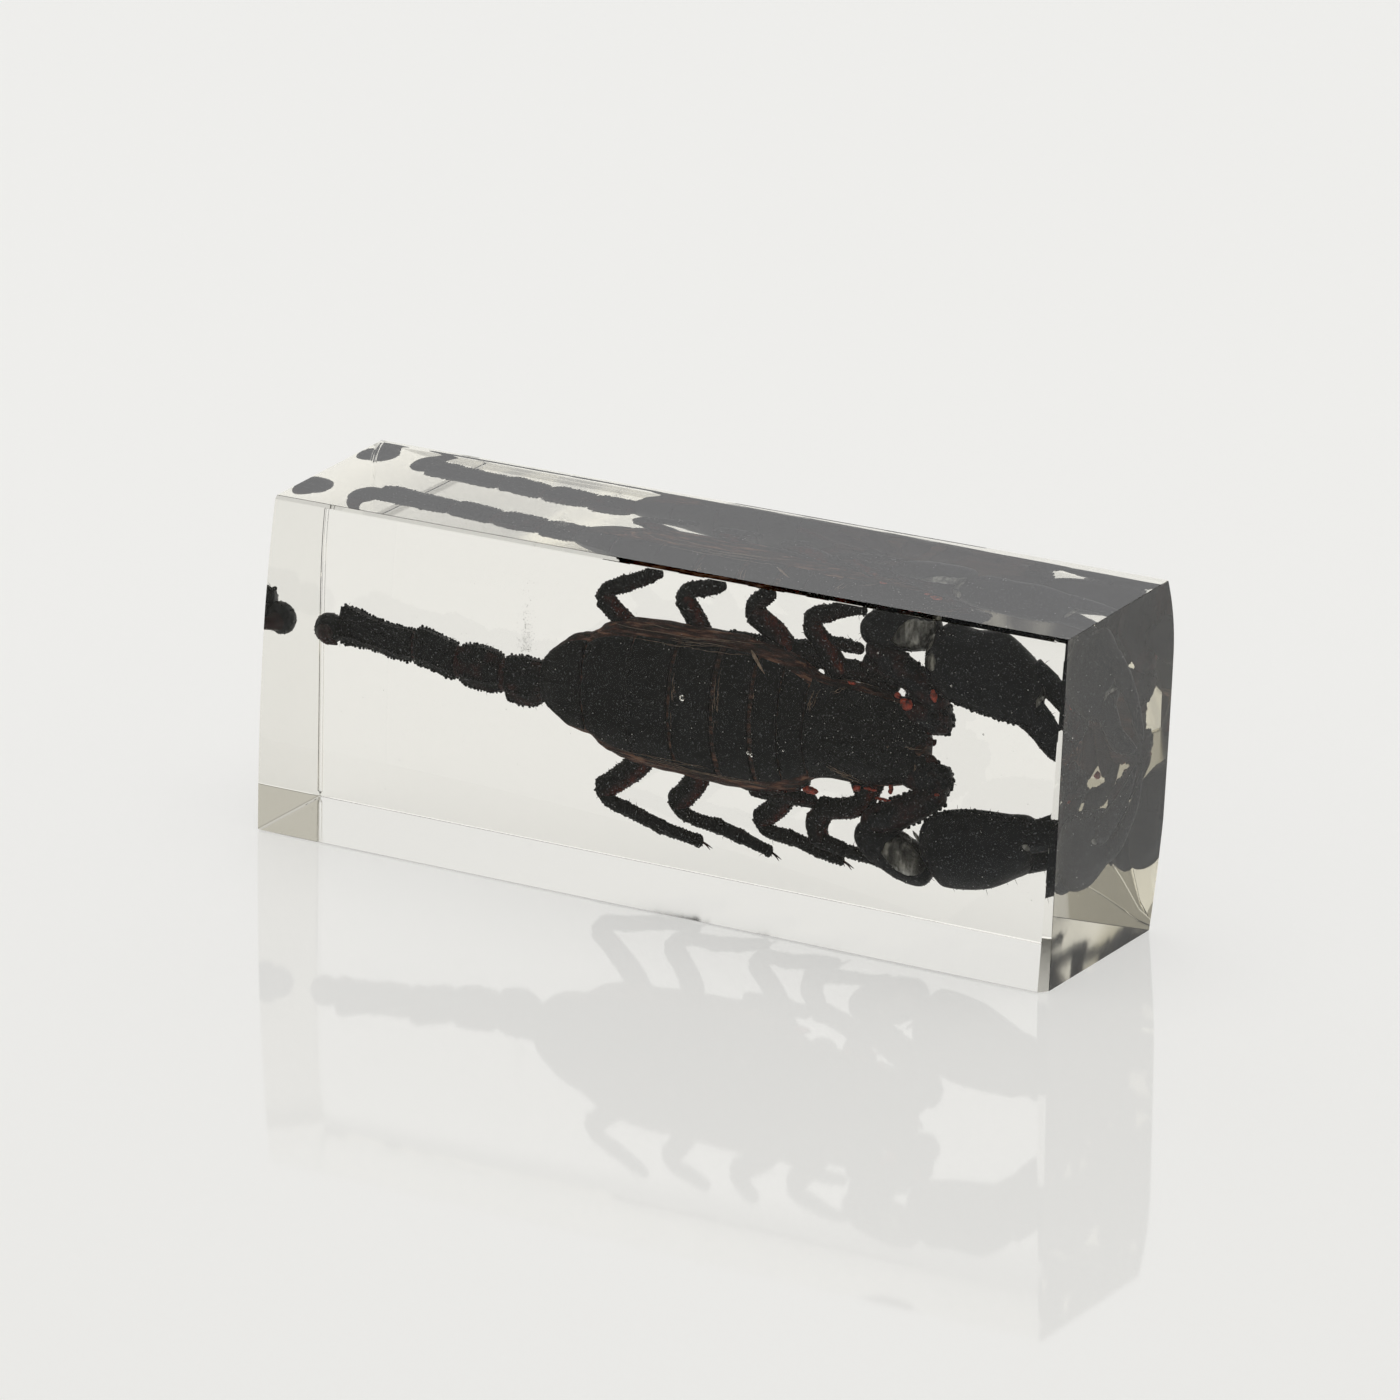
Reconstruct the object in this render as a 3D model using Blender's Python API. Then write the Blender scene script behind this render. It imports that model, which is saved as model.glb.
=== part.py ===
"""A dried scorpion sealed in a clear resin block.

The block stands on its long narrow side: X runs along it with the scorpion's head to +X, Y runs
through its thickness with the flat front face at -Y, and Z is up from the base. The clear resin is
parted in two so that the pocket for the scorpion is open in each half.

Dimensions are in millimetres. A place inside the block is written (x, depth, z), where depth is
measured back from the flat front face.
"""
import math

import bmesh
import bpy
from mathutils import Vector

MM = 0.001

# ---- the block
MIDDLE_X = -0.2            # of the block's box
FOOT_LEFT = -55.3          # the left end's front foot
FOOT_LEFT_TURN = -0.4      # the left end's back foot stands further out
FOOT_RIGHT = 54.1          # the right end's front foot
RIGHT_TURN = 0.4           # and its back foot stands further out too
HEIGHT = 44.0
THICKNESS = 29.0           # at the right end's middle
THICKNESS_LEFT = 27.4
TOP_THICKNESS = 26.6
BASE_TAPER = 1.9           # how much thinner the right end is at the base
LEFT_LEAN_FRONT = 2.2      # how far the left end leans in at the top, at the front and at the back
LEFT_LEAN_BACK = 1.6
LEFT_BOW = 2.4             # exponents of the left end's bow, at the front and at the back
LEFT_BOW_BACK = 7.0
RIGHT_LEAN = 1.2           # how far the right end leans out at the top
TOP_SLOPE_X = 0.0032       # the top is a little higher at the right and at the back
TOP_SLOPE_Y = 0.0200
TOP_REACH_LEFT = 3.0       # how far the back's rounding reaches down from the top
TOP_REACH_RIGHT = 10.0
ROUNDING_POWER = 2.0
BASE_REACH = 14.0          # how far the back's taper reaches up from the base
TAPER_POWER = 1.3
FACET_FOOT = 1.5           # width of the facet on the right front edge at the foot
FACET_TOP = 0.3            # and at the top
FACET_TURN = 50.0          # degrees from the front face to the facet
TOP_BEVEL = 0.3            # the worn front edge of the top
BLOCK_CUTS_X = 7
BLOCK_CUTS_Z = 11

# ---- parting and clearances
PARTING_DEPTH = 21.0
PARTING_GAP = 0.3
POCKET_GAP = 0.35

# ---- the scorpion's body: x, z of its middle, half width, depth of the back, depth of the belly
BODY_WAIST = 20.5          # depth at which each section is widest
BODY_SIDES = 20
BODY = (
    (-21.6, 22.7, 2.4, 18.9, 22.4),
    (-20.7, 22.8, 3.7, 18.2, 22.7),
    (-19.2, 22.9, 5.0, 17.4, 22.9),
    (-17.4, 23.1, 6.3, 16.8, 23.2),
    (-15.8, 23.2, 6.8, 16.3, 23.3),
    (-14.6, 23.3, 6.8, 16.0, 23.3),
    (-12.8, 23.4, 7.8, 15.4, 23.4),
    (-10.0, 23.4, 8.6, 15.0, 23.5),
    (-5.0, 23.4, 9.3, 14.6, 23.5),
    (0.0, 23.4, 9.6, 14.4, 23.5),
    (5.0, 23.4, 9.7, 14.4, 23.5),
    (10.0, 23.4, 9.4, 14.5, 23.5),
    (14.0, 23.4, 8.5, 14.8, 23.4),
    (17.0, 23.4, 7.1, 15.0, 23.4),
    (23.0, 23.4, 6.7, 15.3, 23.4),
    (28.0, 23.4, 6.0, 16.0, 23.3),
    (30.6, 23.3, 4.9, 16.8, 22.8),
    (32.0, 23.2, 3.4, 18.2, 22.2),
)

# ---- the tail: each segment's two ends and its fullest place as x, z, half width
TAIL_DEPTH = 21.4
TAIL_HALF_DEPTH = 2.35
TAIL_SIDES = 10
TAIL = (
    ("two", (-27.6, 21.8, 2.4), (-24.2, 21.6, 3.4), (-20.9, 22.0, 2.6)),
    ("three", (-34.0, 22.4, 2.1), (-30.6, 22.2, 2.9), (-27.1, 22.1, 2.4)),
    ("four", (-40.4, 23.5, 2.0), (-37.0, 23.1, 2.4), (-33.5, 22.5, 2.3)),
    ("five", (-51.0, 24.4, 2.1), (-45.6, 23.8, 2.1), (-39.9, 23.3, 1.9)),
)
VENOM_BULB = (-52.1, 19.8, 23.8)
VENOM_BULB_RADII = (1.9, 3.1, 2.0)
STING = ((-52.0, 17.6, 23.7, 1.3), (-51.0, 15.2, 23.5, 0.9), (-48.6, 13.3, 23.3, 0.4))

# ---- legs, from the body to the claw: x, depth, z, radius. Low legs first, then the raised ones
LEG_SIDES_RESOLUTION = 2
LEGS = {
    "low_1": ((24.6, 20.5, 18.0, 1.4), (22.9, 20.5, 14.6, 1.3), (17.6, 21.3, 12.9, 1.3), (16.4, 22.0, 10.6, 1.5),
              (16.8, 22.0, 8.6, 1.1), (20.2, 21.6, 8.1, 0.8), (24.9, 21.2, 7.6, 0.65), (27.4, 20.8, 6.9, 0.5)),
    "low_2": ((13.2, 21.5, 16.2, 1.5), (11.5, 22.3, 12.6, 1.5), (8.2, 24.0, 9.4, 1.2), (8.8, 23.9, 8.4, 1.0),
              (12.7, 23.2, 7.9, 0.9), (16.9, 22.6, 7.0, 0.8), (20.1, 22.0, 6.5, 0.5)),
    "low_3": ((0.2, 21.8, 16.2, 1.5), (-0.4, 22.4, 13.1, 1.6), (-3.5, 24.0, 9.5, 1.3), (-2.8, 24.0, 8.3, 1.0),
              (2.8, 23.0, 7.5, 0.9), (6.0, 22.4, 6.9, 0.8), (9.5, 21.8, 6.1, 0.5)),
    "low_4": ((-6.6, 21.8, 16.2, 1.4), (-8.9, 22.6, 13.3, 1.35), (-13.9, 24.0, 9.2, 1.2), (-13.2, 23.9, 8.1, 1.0),
              (-10.2, 23.0, 7.4, 0.9), (-6.0, 22.3, 6.2, 0.8), (-1.3, 21.8, 5.5, 0.5)),
    "high_1": ((24.0, 20.5, 30.2, 1.4), (21.4, 20.6, 33.8, 1.3), (16.4, 20.6, 35.2, 1.3), (15.2, 20.3, 36.8, 1.1),
               (18.8, 20.4, 38.0, 0.9), (22.9, 20.6, 38.9, 0.8), (26.0, 20.8, 39.0, 0.6)),
    "high_2": ((12.4, 21.3, 30.6, 1.5), (10.5, 21.1, 33.1, 1.5), (6.8, 20.9, 35.6, 1.2), (7.4, 20.8, 36.8, 1.0),
               (9.4, 20.6, 38.0, 0.9), (13.4, 20.4, 39.8, 0.8), (15.1, 20.4, 41.5, 0.6), (15.5, 20.4, 42.6, 0.5)),
    "high_3": ((0.4, 21.4, 30.6, 1.5), (0.2, 21.2, 32.9, 1.5), (-3.3, 21.3, 34.9, 1.3), (-2.6, 21.2, 36.1, 1.0),
               (1.5, 20.8, 37.4, 0.9), (5.3, 20.5, 38.9, 0.8), (7.1, 20.4, 40.7, 0.6), (8.2, 20.4, 42.5, 0.5)),
    "high_4": ((-8.4, 21.4, 30.4, 1.4), (-10.6, 21.3, 31.8, 1.35), (-14.3, 21.3, 33.3, 1.2), (-13.7, 21.2, 34.5, 1.0),
               (-10.0, 20.8, 36.0, 0.9), (-5.7, 20.5, 38.1, 0.8), (-5.0, 20.4, 40.3, 0.6), (-4.1, 20.4, 42.5, 0.5)),
}

# ---- claws: x, then depth and z of the inner edge, depth and z of the outer edge, half thickness
CLAW_SIDES = 12
LOW_HAND = (
    (31.6, 17.9, 13.4, 19.3, 11.0, 1.8),
    (32.6, 17.1, 15.0, 19.9, 8.9, 2.7),
    (34.9, 16.2, 16.3, 20.5, 6.7, 3.3),
    (38.0, 15.9, 17.1, 20.6, 6.9, 3.6),
    (41.0, 15.8, 17.3, 20.8, 7.7, 3.5),
    (43.6, 15.9, 17.3, 21.3, 9.2, 3.1),
    (46.2, 16.6, 17.2, 22.0, 11.0, 2.6),
)
HIGH_HAND = (
    (31.6, 17.9, 33.6, 19.3, 36.2, 1.8),
    (32.6, 16.9, 32.0, 19.9, 38.1, 2.7),
    (34.9, 15.7, 30.9, 20.3, 39.6, 3.3),
    (38.0, 15.4, 30.2, 20.3, 39.0, 3.6),
    (41.0, 15.3, 29.7, 20.3, 38.0, 3.5),
    (43.6, 15.5, 29.4, 20.4, 36.6, 3.1),
    (46.2, 16.3, 29.2, 20.8, 34.4, 2.6),
)
# fingers, trochanters and the two arm segments: x, depth, z, half width, half thickness
ARM_SIDES = 10
ARMS = {
    "low_fixed_finger": ((44.8, 18.0, 15.2, 2.4, 2.0), (47.6, 18.3, 15.6, 2.1, 1.7), (50.0, 19.2, 17.3, 1.6, 1.4),
                         (52.2, 20.5, 19.8, 1.1, 1.1), (53.6, 21.6, 22.6, 0.5, 0.5)),
    "low_movable_finger": ((44.8, 20.4, 11.6, 2.2, 2.0), (47.4, 21.2, 12.2, 1.7, 1.6), (50.0, 22.0, 14.6, 1.4, 1.3),
                           (52.6, 22.7, 18.2, 1.0, 1.0), (53.7, 23.0, 21.6, 0.5, 0.5)),
    "low_trochanter": ((28.0, 20.6, 20.2, 1.9, 2.2), (31.0, 19.8, 19.8, 2.3, 2.6), (34.2, 19.2, 19.2, 2.3, 2.4),
                       (34.9, 19.0, 18.9, 1.9, 2.0)),
    "low_femur": ((34.2, 19.2, 18.8, 1.7, 2.1), (30.2, 19.1, 15.8, 2.0, 2.5), (26.2, 19.4, 13.5, 2.0, 2.6),
                  (23.4, 19.8, 12.3, 1.4, 2.2)),
    "low_patella": ((22.6, 20.0, 12.0, 1.3, 2.0), (24.6, 19.9, 10.8, 2.5, 2.8), (28.0, 19.7, 9.4, 2.9, 3.1),
                    (31.4, 19.6, 8.2, 2.6, 2.8), (33.2, 19.6, 8.2, 1.6, 2.0)),
    "high_fixed_finger": ((44.8, 17.6, 31.4, 2.4, 2.0), (47.2, 18.0, 29.2, 2.1, 1.7), (49.2, 18.8, 26.6, 1.7, 1.4),
                          (51.8, 20.2, 25.2, 1.1, 1.1), (53.2, 21.6, 24.4, 0.5, 0.5)),
    "high_movable_finger": ((44.8, 19.9, 34.6, 2.2, 2.0), (47.2, 20.6, 32.8, 1.7, 1.6), (49.6, 21.6, 30.4, 1.4, 1.3),
                            (52.4, 22.5, 27.2, 1.0, 1.0), (53.7, 23.0, 25.2, 0.5, 0.5)),
    "high_trochanter": ((28.0, 20.6, 27.2, 1.9, 2.2), (31.0, 19.8, 27.6, 2.3, 2.6), (33.8, 19.2, 28.1, 2.3, 2.4),
                        (34.7, 19.0, 28.4, 1.7, 2.0)),
    "high_femur": ((34.2, 19.2, 28.6, 1.7, 2.1), (30.2, 19.1, 31.4, 2.0, 2.5), (26.2, 19.4, 33.8, 2.0, 2.6),
                   (23.4, 19.8, 35.3, 1.4, 2.2)),
    "high_patella": ((22.6, 20.0, 35.6, 1.3, 2.0), (24.6, 19.9, 37.0, 2.5, 2.8), (28.0, 19.7, 37.9, 2.9, 3.1),
                     (31.4, 19.6, 38.4, 2.6, 2.8), (33.2, 19.6, 38.4, 1.6, 2.0)),
}

RESIN_COLOUR = (0.93, 0.92, 0.86)
SCORPION_COLOUR = (0.030, 0.022, 0.020)


# ---- helpers

def place(x, depth, z):
    """A place given in millimetres as a point of the scene, in metres."""
    return Vector((x - MIDDLE_X, depth - THICKNESS / 2, z)) * MM


def new_collection(name):
    made = bpy.data.collections.new(name)
    bpy.context.scene.collection.children.link(made)
    return made


def new_object(name, mesh, collection):
    made = bpy.data.objects.new(name, mesh)
    collection.objects.link(made)
    return made


def as_guide(item):
    """A guide or a cutter: it shapes a piece and is not one itself."""
    item.hide_render = True
    item.display_type = "WIRE"
    return item


def mesh_from(bm, name):
    bmesh.ops.recalc_face_normals(bm, faces=bm.faces)
    mesh = bpy.data.meshes.new(name)
    bm.to_mesh(mesh)
    bm.free()
    return mesh


def new_material(name, colour, roughness, transmission=0.0):
    material = bpy.data.materials.new(name)
    material.use_nodes = True
    shader = material.node_tree.nodes["Principled BSDF"]
    shader.inputs["Base Color"].default_value = (*colour, 1.0)
    shader.inputs["Roughness"].default_value = roughness
    shader.inputs["Metallic"].default_value = 0.0
    shader.inputs["Transmission Weight"].default_value = transmission
    return material


def loft(name, sections, sides, collection):
    """A closed solid through ring sections, each a centre and the two half axes of its ring.

    The second half axis may be a pair, for a ring that is not the same on both sides.
    """
    bm = bmesh.new()
    rings = []
    for centre, across, through in sections:
        near, far = through if isinstance(through, tuple) else (through, through)
        ring = []
        for side in range(sides):
            angle = 2 * math.pi * side / sides
            reach = far if math.sin(angle) >= 0 else near
            ring.append(bm.verts.new(centre + across * math.cos(angle) + reach * math.sin(angle)))
        rings.append(ring)
    for ring, following in zip(rings, rings[1:]):
        for side in range(sides):
            after = (side + 1) % sides
            bm.faces.new((ring[side], ring[after], following[after], following[side]))
    bm.faces.new(rings[0])
    bm.faces.new(rings[-1])
    return new_object(name, mesh_from(bm, name), collection)


# ---- the scorpion

def lengthened(points, grow):
    """The points of a limb with both its ends moved out by the growth."""
    points = list(points)
    for end, inner in ((0, 1), (-1, -2)):
        away = Vector(points[end][:3]) - Vector(points[inner][:3])
        points[end] = (*(Vector(points[end][:3]) + away.normalized() * grow), *points[end][3:])
    return points


def body(name, grow, collection):
    sections = []
    for index, (x, middle, half_width, back, belly) in enumerate(BODY):
        if index == 0:
            x -= grow
        if index == len(BODY) - 1:
            x += grow
        across = Vector((0, 0, half_width + grow)) * MM
        near = Vector((0, BODY_WAIST - back + grow, 0)) * MM
        far = Vector((0, belly - BODY_WAIST + grow, 0)) * MM
        sections.append((place(x, BODY_WAIST, middle), across, (near, far)))
    return loft(name, sections, BODY_SIDES, collection)


def tail_segment(name, stations, grow, collection):
    first, fullest, last = stations
    sections = []
    for (x, z, half_width), end_growth, depth_share in ((first, -grow, 0.86), (fullest, 0, 1.0), (last, grow, 0.86)):
        across = Vector((0, 0, half_width + grow)) * MM
        through = Vector((0, TAIL_HALF_DEPTH * depth_share + grow, 0)) * MM
        sections.append((place(x + end_growth, TAIL_DEPTH, z), across, through))
    return loft(name, sections, TAIL_SIDES, collection)


def venom_bulb(name, grow, collection):
    bm = bmesh.new()
    bmesh.ops.create_uvsphere(bm, u_segments=10, v_segments=6, radius=1.0)
    radii = Vector([radius + grow for radius in VENOM_BULB_RADII]) * MM
    for vert in bm.verts:
        vert.co = place(*VENOM_BULB) + vert.co * radii
    return new_object(name, mesh_from(bm, name), collection)


def round_limb(name, points, grow, collection):
    """A leg or the sting: a tapering tube along its points, made as a curve and turned into a mesh."""
    curve = bpy.data.curves.new(name + "_path", "CURVE")
    curve.dimensions = "3D"
    curve.bevel_depth = MM
    curve.bevel_resolution = LEG_SIDES_RESOLUTION
    curve.use_fill_caps = True
    points = lengthened(points, grow)
    spline = curve.splines.new("POLY")
    spline.points.add(len(points) - 1)
    for point, (x, depth, z, radius) in zip(spline.points, points):
        point.co = (*place(x, depth, z), 1.0)
        point.radius = radius + grow
    path = new_object(name + "_path", curve, collection)
    evaluated = path.evaluated_get(bpy.context.evaluated_depsgraph_get())
    mesh = bpy.data.meshes.new_from_object(evaluated)
    bpy.data.objects.remove(path)
    bm = bmesh.new()
    bm.from_mesh(mesh)
    bmesh.ops.remove_doubles(bm, verts=bm.verts, dist=0.001 * MM)
    bpy.data.meshes.remove(mesh)
    return new_object(name, mesh_from(bm, name), collection)


def arm_piece(name, points, grow, collection):
    """A finger or an arm segment: a flattened tapering tube that lies along its points."""
    points = lengthened(points, grow)
    sections = []
    for index, (x, depth, z, half_width, half_thickness) in enumerate(points):
        before = points[max(index - 1, 0)]
        after = points[min(index + 1, len(points) - 1)]
        along = Vector((after[0] - before[0], after[1] - before[1], after[2] - before[2])).normalized()
        across = along.cross(Vector((0, 1, 0))).normalized()
        through = across.cross(along).normalized()
        sections.append((place(x, depth, z), across * (half_width + grow) * MM,
                         through * (half_thickness + grow) * MM))
    return loft(name, sections, ARM_SIDES, collection)


def hand(name, stations, grow, collection):
    """The swollen hand of a claw, its inner edge raised towards the front."""
    sections = []
    for index, (x, inner_depth, inner_z, outer_depth, outer_z, half_thickness) in enumerate(stations):
        if index == 0:
            x -= grow
        inner = place(x, inner_depth, inner_z)
        outer = place(x, outer_depth, outer_z)
        across = (inner - outer) / 2
        across += across.normalized() * grow * MM
        through = Vector((1, 0, 0)).cross(across).normalized() * (half_thickness + grow) * MM
        sections.append(((inner + outer) / 2, across, through))
    return loft(name, sections, CLAW_SIDES, collection)


def scorpion(name, grow, collection, limbs):
    """The whole animal fused in one solid: the body, with every limb united to it."""
    for segment, *stations in TAIL:
        as_guide(tail_segment(f"{name}_tail_{segment}", stations, grow, limbs))
    as_guide(venom_bulb(name + "_venom_bulb", grow, limbs))
    as_guide(round_limb(name + "_sting", STING, grow, limbs))
    for leg, points in LEGS.items():
        as_guide(round_limb(f"{name}_leg_{leg}", points, grow, limbs))
    for piece, points in ARMS.items():
        as_guide(arm_piece(f"{name}_{piece}", points, grow, limbs))
    as_guide(hand(name + "_low_hand", LOW_HAND, grow, limbs))
    as_guide(hand(name + "_high_hand", HIGH_HAND, grow, limbs))
    whole = body(name, grow, collection)
    union = whole.modifiers.new("limbs", "BOOLEAN")
    union.operation = "UNION"
    union.operand_type = "COLLECTION"
    union.collection = limbs
    union.solver = "EXACT"
    return whole


# ---- the block

def block_point(along, through, up):
    """The block's skin: three shares from 0 to 1, from the left foot, the front and the base."""
    z = HEIGHT * up
    top_reach = TOP_REACH_LEFT + (TOP_REACH_RIGHT - TOP_REACH_LEFT) * along ** 2
    from_top = max(0.0, 1 - (HEIGHT - z) / top_reach) ** ROUNDING_POWER
    from_base = max(0.0, 1 - z / BASE_REACH) ** TAPER_POWER
    full = THICKNESS_LEFT + (THICKNESS - THICKNESS_LEFT) * along ** 2
    depth = through * (full - (full - TOP_THICKNESS) * from_top - BASE_TAPER * along ** 2 * from_base)
    lean = LEFT_LEAN_FRONT + (LEFT_LEAN_BACK - LEFT_LEAN_FRONT) * through
    bow = LEFT_BOW + (LEFT_BOW_BACK - LEFT_BOW) * through
    left = FOOT_LEFT + FOOT_LEFT_TURN * through + lean * up ** bow
    right = FOOT_RIGHT + RIGHT_LEAN * up + RIGHT_TURN * through * (1 - up ** 4)
    x = left + (right - left) * along
    z += up * (TOP_SLOPE_X * x + TOP_SLOPE_Y * (depth - TOP_THICKNESS / 2))
    return place(x, depth, z)


def block():
    bm = bmesh.new()
    bmesh.ops.create_cube(bm, size=1.0)
    for axis, cuts in ((0, BLOCK_CUTS_X), (2, BLOCK_CUTS_Z)):
        for cut in range(1, cuts + 1):
            normal = Vector([1.0 if index == axis else 0.0 for index in range(3)])
            geometry = bm.verts[:] + bm.edges[:] + bm.faces[:]
            bmesh.ops.bisect_plane(bm, geom=geometry, plane_co=normal * (cut / (cuts + 1) - 0.5), plane_no=normal)
    for vert in bm.verts:
        vert.co = block_point(*(vert.co + Vector((0.5, 0.5, 0.5))))
    bevel_with_plane(bm, *facet_plane())
    bevel_with_plane(bm, *worn_edge_plane())
    bmesh.ops.dissolve_limit(bm, angle_limit=math.radians(0.05), verts=bm.verts, edges=bm.edges)
    bmesh.ops.triangulate(bm, faces=bm.faces)
    return mesh_from(bm, "block")


def bevel_with_plane(bm, point, normal):
    """Cut the corner off that lies beyond a plane, and close the cut."""
    geometry = bm.verts[:] + bm.edges[:] + bm.faces[:]
    cut = bmesh.ops.bisect_plane(bm, geom=geometry, plane_co=point, plane_no=normal, clear_outer=True)
    rim = [item for item in cut["geom_cut"] if isinstance(item, bmesh.types.BMEdge)]
    bmesh.ops.contextual_create(bm, geom=rim)


def facet_plane():
    """The narrow facet down the right front edge, wider towards the foot."""
    turn = math.radians(FACET_TURN)
    setback = math.cos(turn)
    foot = place(FOOT_RIGHT - FACET_FOOT * setback, 0, 0)
    foot_back = place(FOOT_RIGHT, FACET_FOOT * math.sin(turn), 0)
    top = place(FOOT_RIGHT + RIGHT_LEAN - FACET_TOP * setback, 0, HEIGHT)
    normal = (foot_back - foot).cross(top - foot).normalized()
    return foot, normal if normal.x > 0 else -normal


def worn_edge_plane():
    """The worn front edge of the top."""
    left = block_point(0, 0, 1) - Vector((0, 0, TOP_BEVEL)) * MM
    right = block_point(1, 0, 1) - Vector((0, 0, TOP_BEVEL)) * MM
    behind = block_point(0, 0, 1) + Vector((0, TOP_BEVEL, 0)) * MM
    normal = (right - left).cross(behind - left).normalized()
    return left, normal if normal.z > 0 else -normal


def resin_half(name, mesh, side, pocket, material, collection):
    """The part of the block in front of the parting (side -1) or behind it (side 1)."""
    bm = bmesh.new()
    bm.from_mesh(mesh)
    point = place(0, PARTING_DEPTH + side * PARTING_GAP / 2, 0)
    bevel_with_plane(bm, point, Vector((0, -side, 0)))
    half = new_object(name, mesh_from(bm, name), collection)
    half.data.materials.append(material)
    cut = half.modifiers.new("pocket", "BOOLEAN")
    cut.operation = "DIFFERENCE"
    cut.object = pocket
    cut.solver = "EXACT"
    return half


def main():
    for item in list(bpy.data.objects):
        bpy.data.objects.remove(item)
    parts = new_collection("scorpion_in_resin_block")
    cutters = new_collection("cutters")
    limbs = new_collection("scorpion_limbs")
    pocket_limbs = new_collection("pocket_limbs")

    resin = new_material("clear_resin", RESIN_COLOUR, 0.03, transmission=1.0)
    shell = new_material("scorpion_shell", SCORPION_COLOUR, 0.45)

    animal = scorpion("scorpion", 0.0, parts, limbs)
    animal.data.materials.append(shell)
    pocket = as_guide(scorpion("pocket", POCKET_GAP, cutters, pocket_limbs))

    whole = block()
    resin_half("resin_front", whole, -1, pocket, resin, parts)
    resin_half("resin_back", whole, 1, pocket, resin, parts)


main()
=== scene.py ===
"""A dried scorpion sealed in a clear resin block that stands on its long narrow side.

X runs along the block towards the claws, Y through its thickness from the flat front face, Z up.
Places inside the block are written in millimetres as (x, depth, z), with depth measured back from
the flat front face.
"""
import itertools
import math
import random

import bmesh
import bpy
import numpy as np
from bpy.props import FloatProperty, FloatVectorProperty, PointerProperty
from mathutils import Matrix, Vector
from mathutils.bvhtree import BVHTree


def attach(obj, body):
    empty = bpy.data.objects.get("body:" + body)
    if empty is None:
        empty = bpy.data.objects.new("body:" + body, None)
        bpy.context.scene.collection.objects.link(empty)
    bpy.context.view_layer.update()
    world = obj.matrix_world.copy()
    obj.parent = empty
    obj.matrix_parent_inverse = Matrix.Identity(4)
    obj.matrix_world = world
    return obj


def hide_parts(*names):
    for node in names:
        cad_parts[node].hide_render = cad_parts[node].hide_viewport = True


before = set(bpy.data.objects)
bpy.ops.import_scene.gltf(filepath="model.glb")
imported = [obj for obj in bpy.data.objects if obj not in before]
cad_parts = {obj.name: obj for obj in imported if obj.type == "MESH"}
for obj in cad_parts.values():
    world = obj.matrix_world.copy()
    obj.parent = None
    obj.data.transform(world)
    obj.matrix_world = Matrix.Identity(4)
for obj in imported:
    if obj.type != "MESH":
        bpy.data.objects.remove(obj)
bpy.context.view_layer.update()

bl_info = {
    "name": "Scorpion in a clear block",
    "version": (1, 0, 0),
    "blender": (4, 5, 0),
    "location": "3D View > Sidebar > Specimen",
    "description": "Builds a dried scorpion sealed in a clear resin block",
    "category": "Add Mesh",
}

MM = 0.001
THICKNESS = 29.0
MIDDLE = np.array((-0.2, THICKNESS / 2, 0.0))     # of the block's box

# ---- the block, as in the solids
FOOT_LEFT = -55.3
FOOT_LEFT_TURN = -0.4      # the left end's back foot stands further out
FOOT_RIGHT = 54.1
HEIGHT = 44.0
LEFT_LEAN_FRONT = 2.2
LEFT_LEAN_BACK = 1.6
LEFT_BOW = 2.4
LEFT_BOW_BACK = 7.0
RIGHT_LEAN = 1.2
RIGHT_TURN = 0.4           # the right end's back foot stands further out
TOP_SLOPE_X = 0.0032
TOP_SLOPE_Y = 0.0200
THICKNESS_LEFT = 27.4      # the block is thinner at its left end
TOP_THICKNESS = 26.6
BASE_TAPER = 1.9           # how much thinner the right end is at the base
TOP_REACH_LEFT = 3.0       # how far down from the top the back's rounding reaches
TOP_REACH_RIGHT = 10.0
ROUNDING_POWER = 2.0
BASE_REACH = 14.0          # how far up from the base the back's taper reaches
TAPER_POWER = 1.3
FACET_FOOT = 1.5
FACET_TOP = 0.3
FACET_TURN = 50.0
TOP_WEAR = 0.42            # the worn front edge of the top
CORNER_WEAR = 0.30         # the worn upright edge at the back of the left end
FOOT_WEAR = 0.18           # the worn foot of the left end
FRONT_WEAR = 0.06          # the worn front edge of the base

# ---- the body: x, z of its middle, half width, depth of the back, depth of the belly
WAIST = 20.5
MIDLINE = 23.4             # height of the animal's middle line
BODY = (
    (-21.9, 22.7, 0.5, 20.3, 20.7),
    (-21.6, 22.7, 2.3, 18.9, 22.4),
    (-20.7, 22.8, 3.7, 18.2, 22.6),
    (-19.2, 22.9, 5.0, 17.4, 22.9),
    (-17.4, 23.1, 6.2, 16.8, 23.1),
    (-15.8, 23.2, 6.7, 16.3, 23.2),
    (-14.6, 23.3, 6.9, 16.0, 23.2),
    (-12.8, 23.4, 8.1, 15.4, 23.3),
    (-10.0, 23.4, 9.1, 15.0, 23.4),
    (-5.0, 23.4, 9.7, 14.6, 23.4),
    (0.0, 23.4, 10.0, 14.5, 23.4),
    (5.0, 23.4, 10.1, 14.5, 23.4),
    (10.0, 23.4, 9.7, 14.6, 23.4),
    (14.0, 23.4, 8.6, 14.9, 23.3),
    (17.0, 23.4, 6.9, 15.1, 23.3),
    (23.0, 23.4, 6.5, 15.4, 23.3),
    (28.0, 23.4, 5.8, 16.1, 23.2),
    (30.6, 23.3, 4.7, 16.9, 22.6),
    (31.7, 23.2, 3.2, 18.3, 22.0),
    (32.0, 23.2, 0.5, 20.2, 20.8),
)
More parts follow.
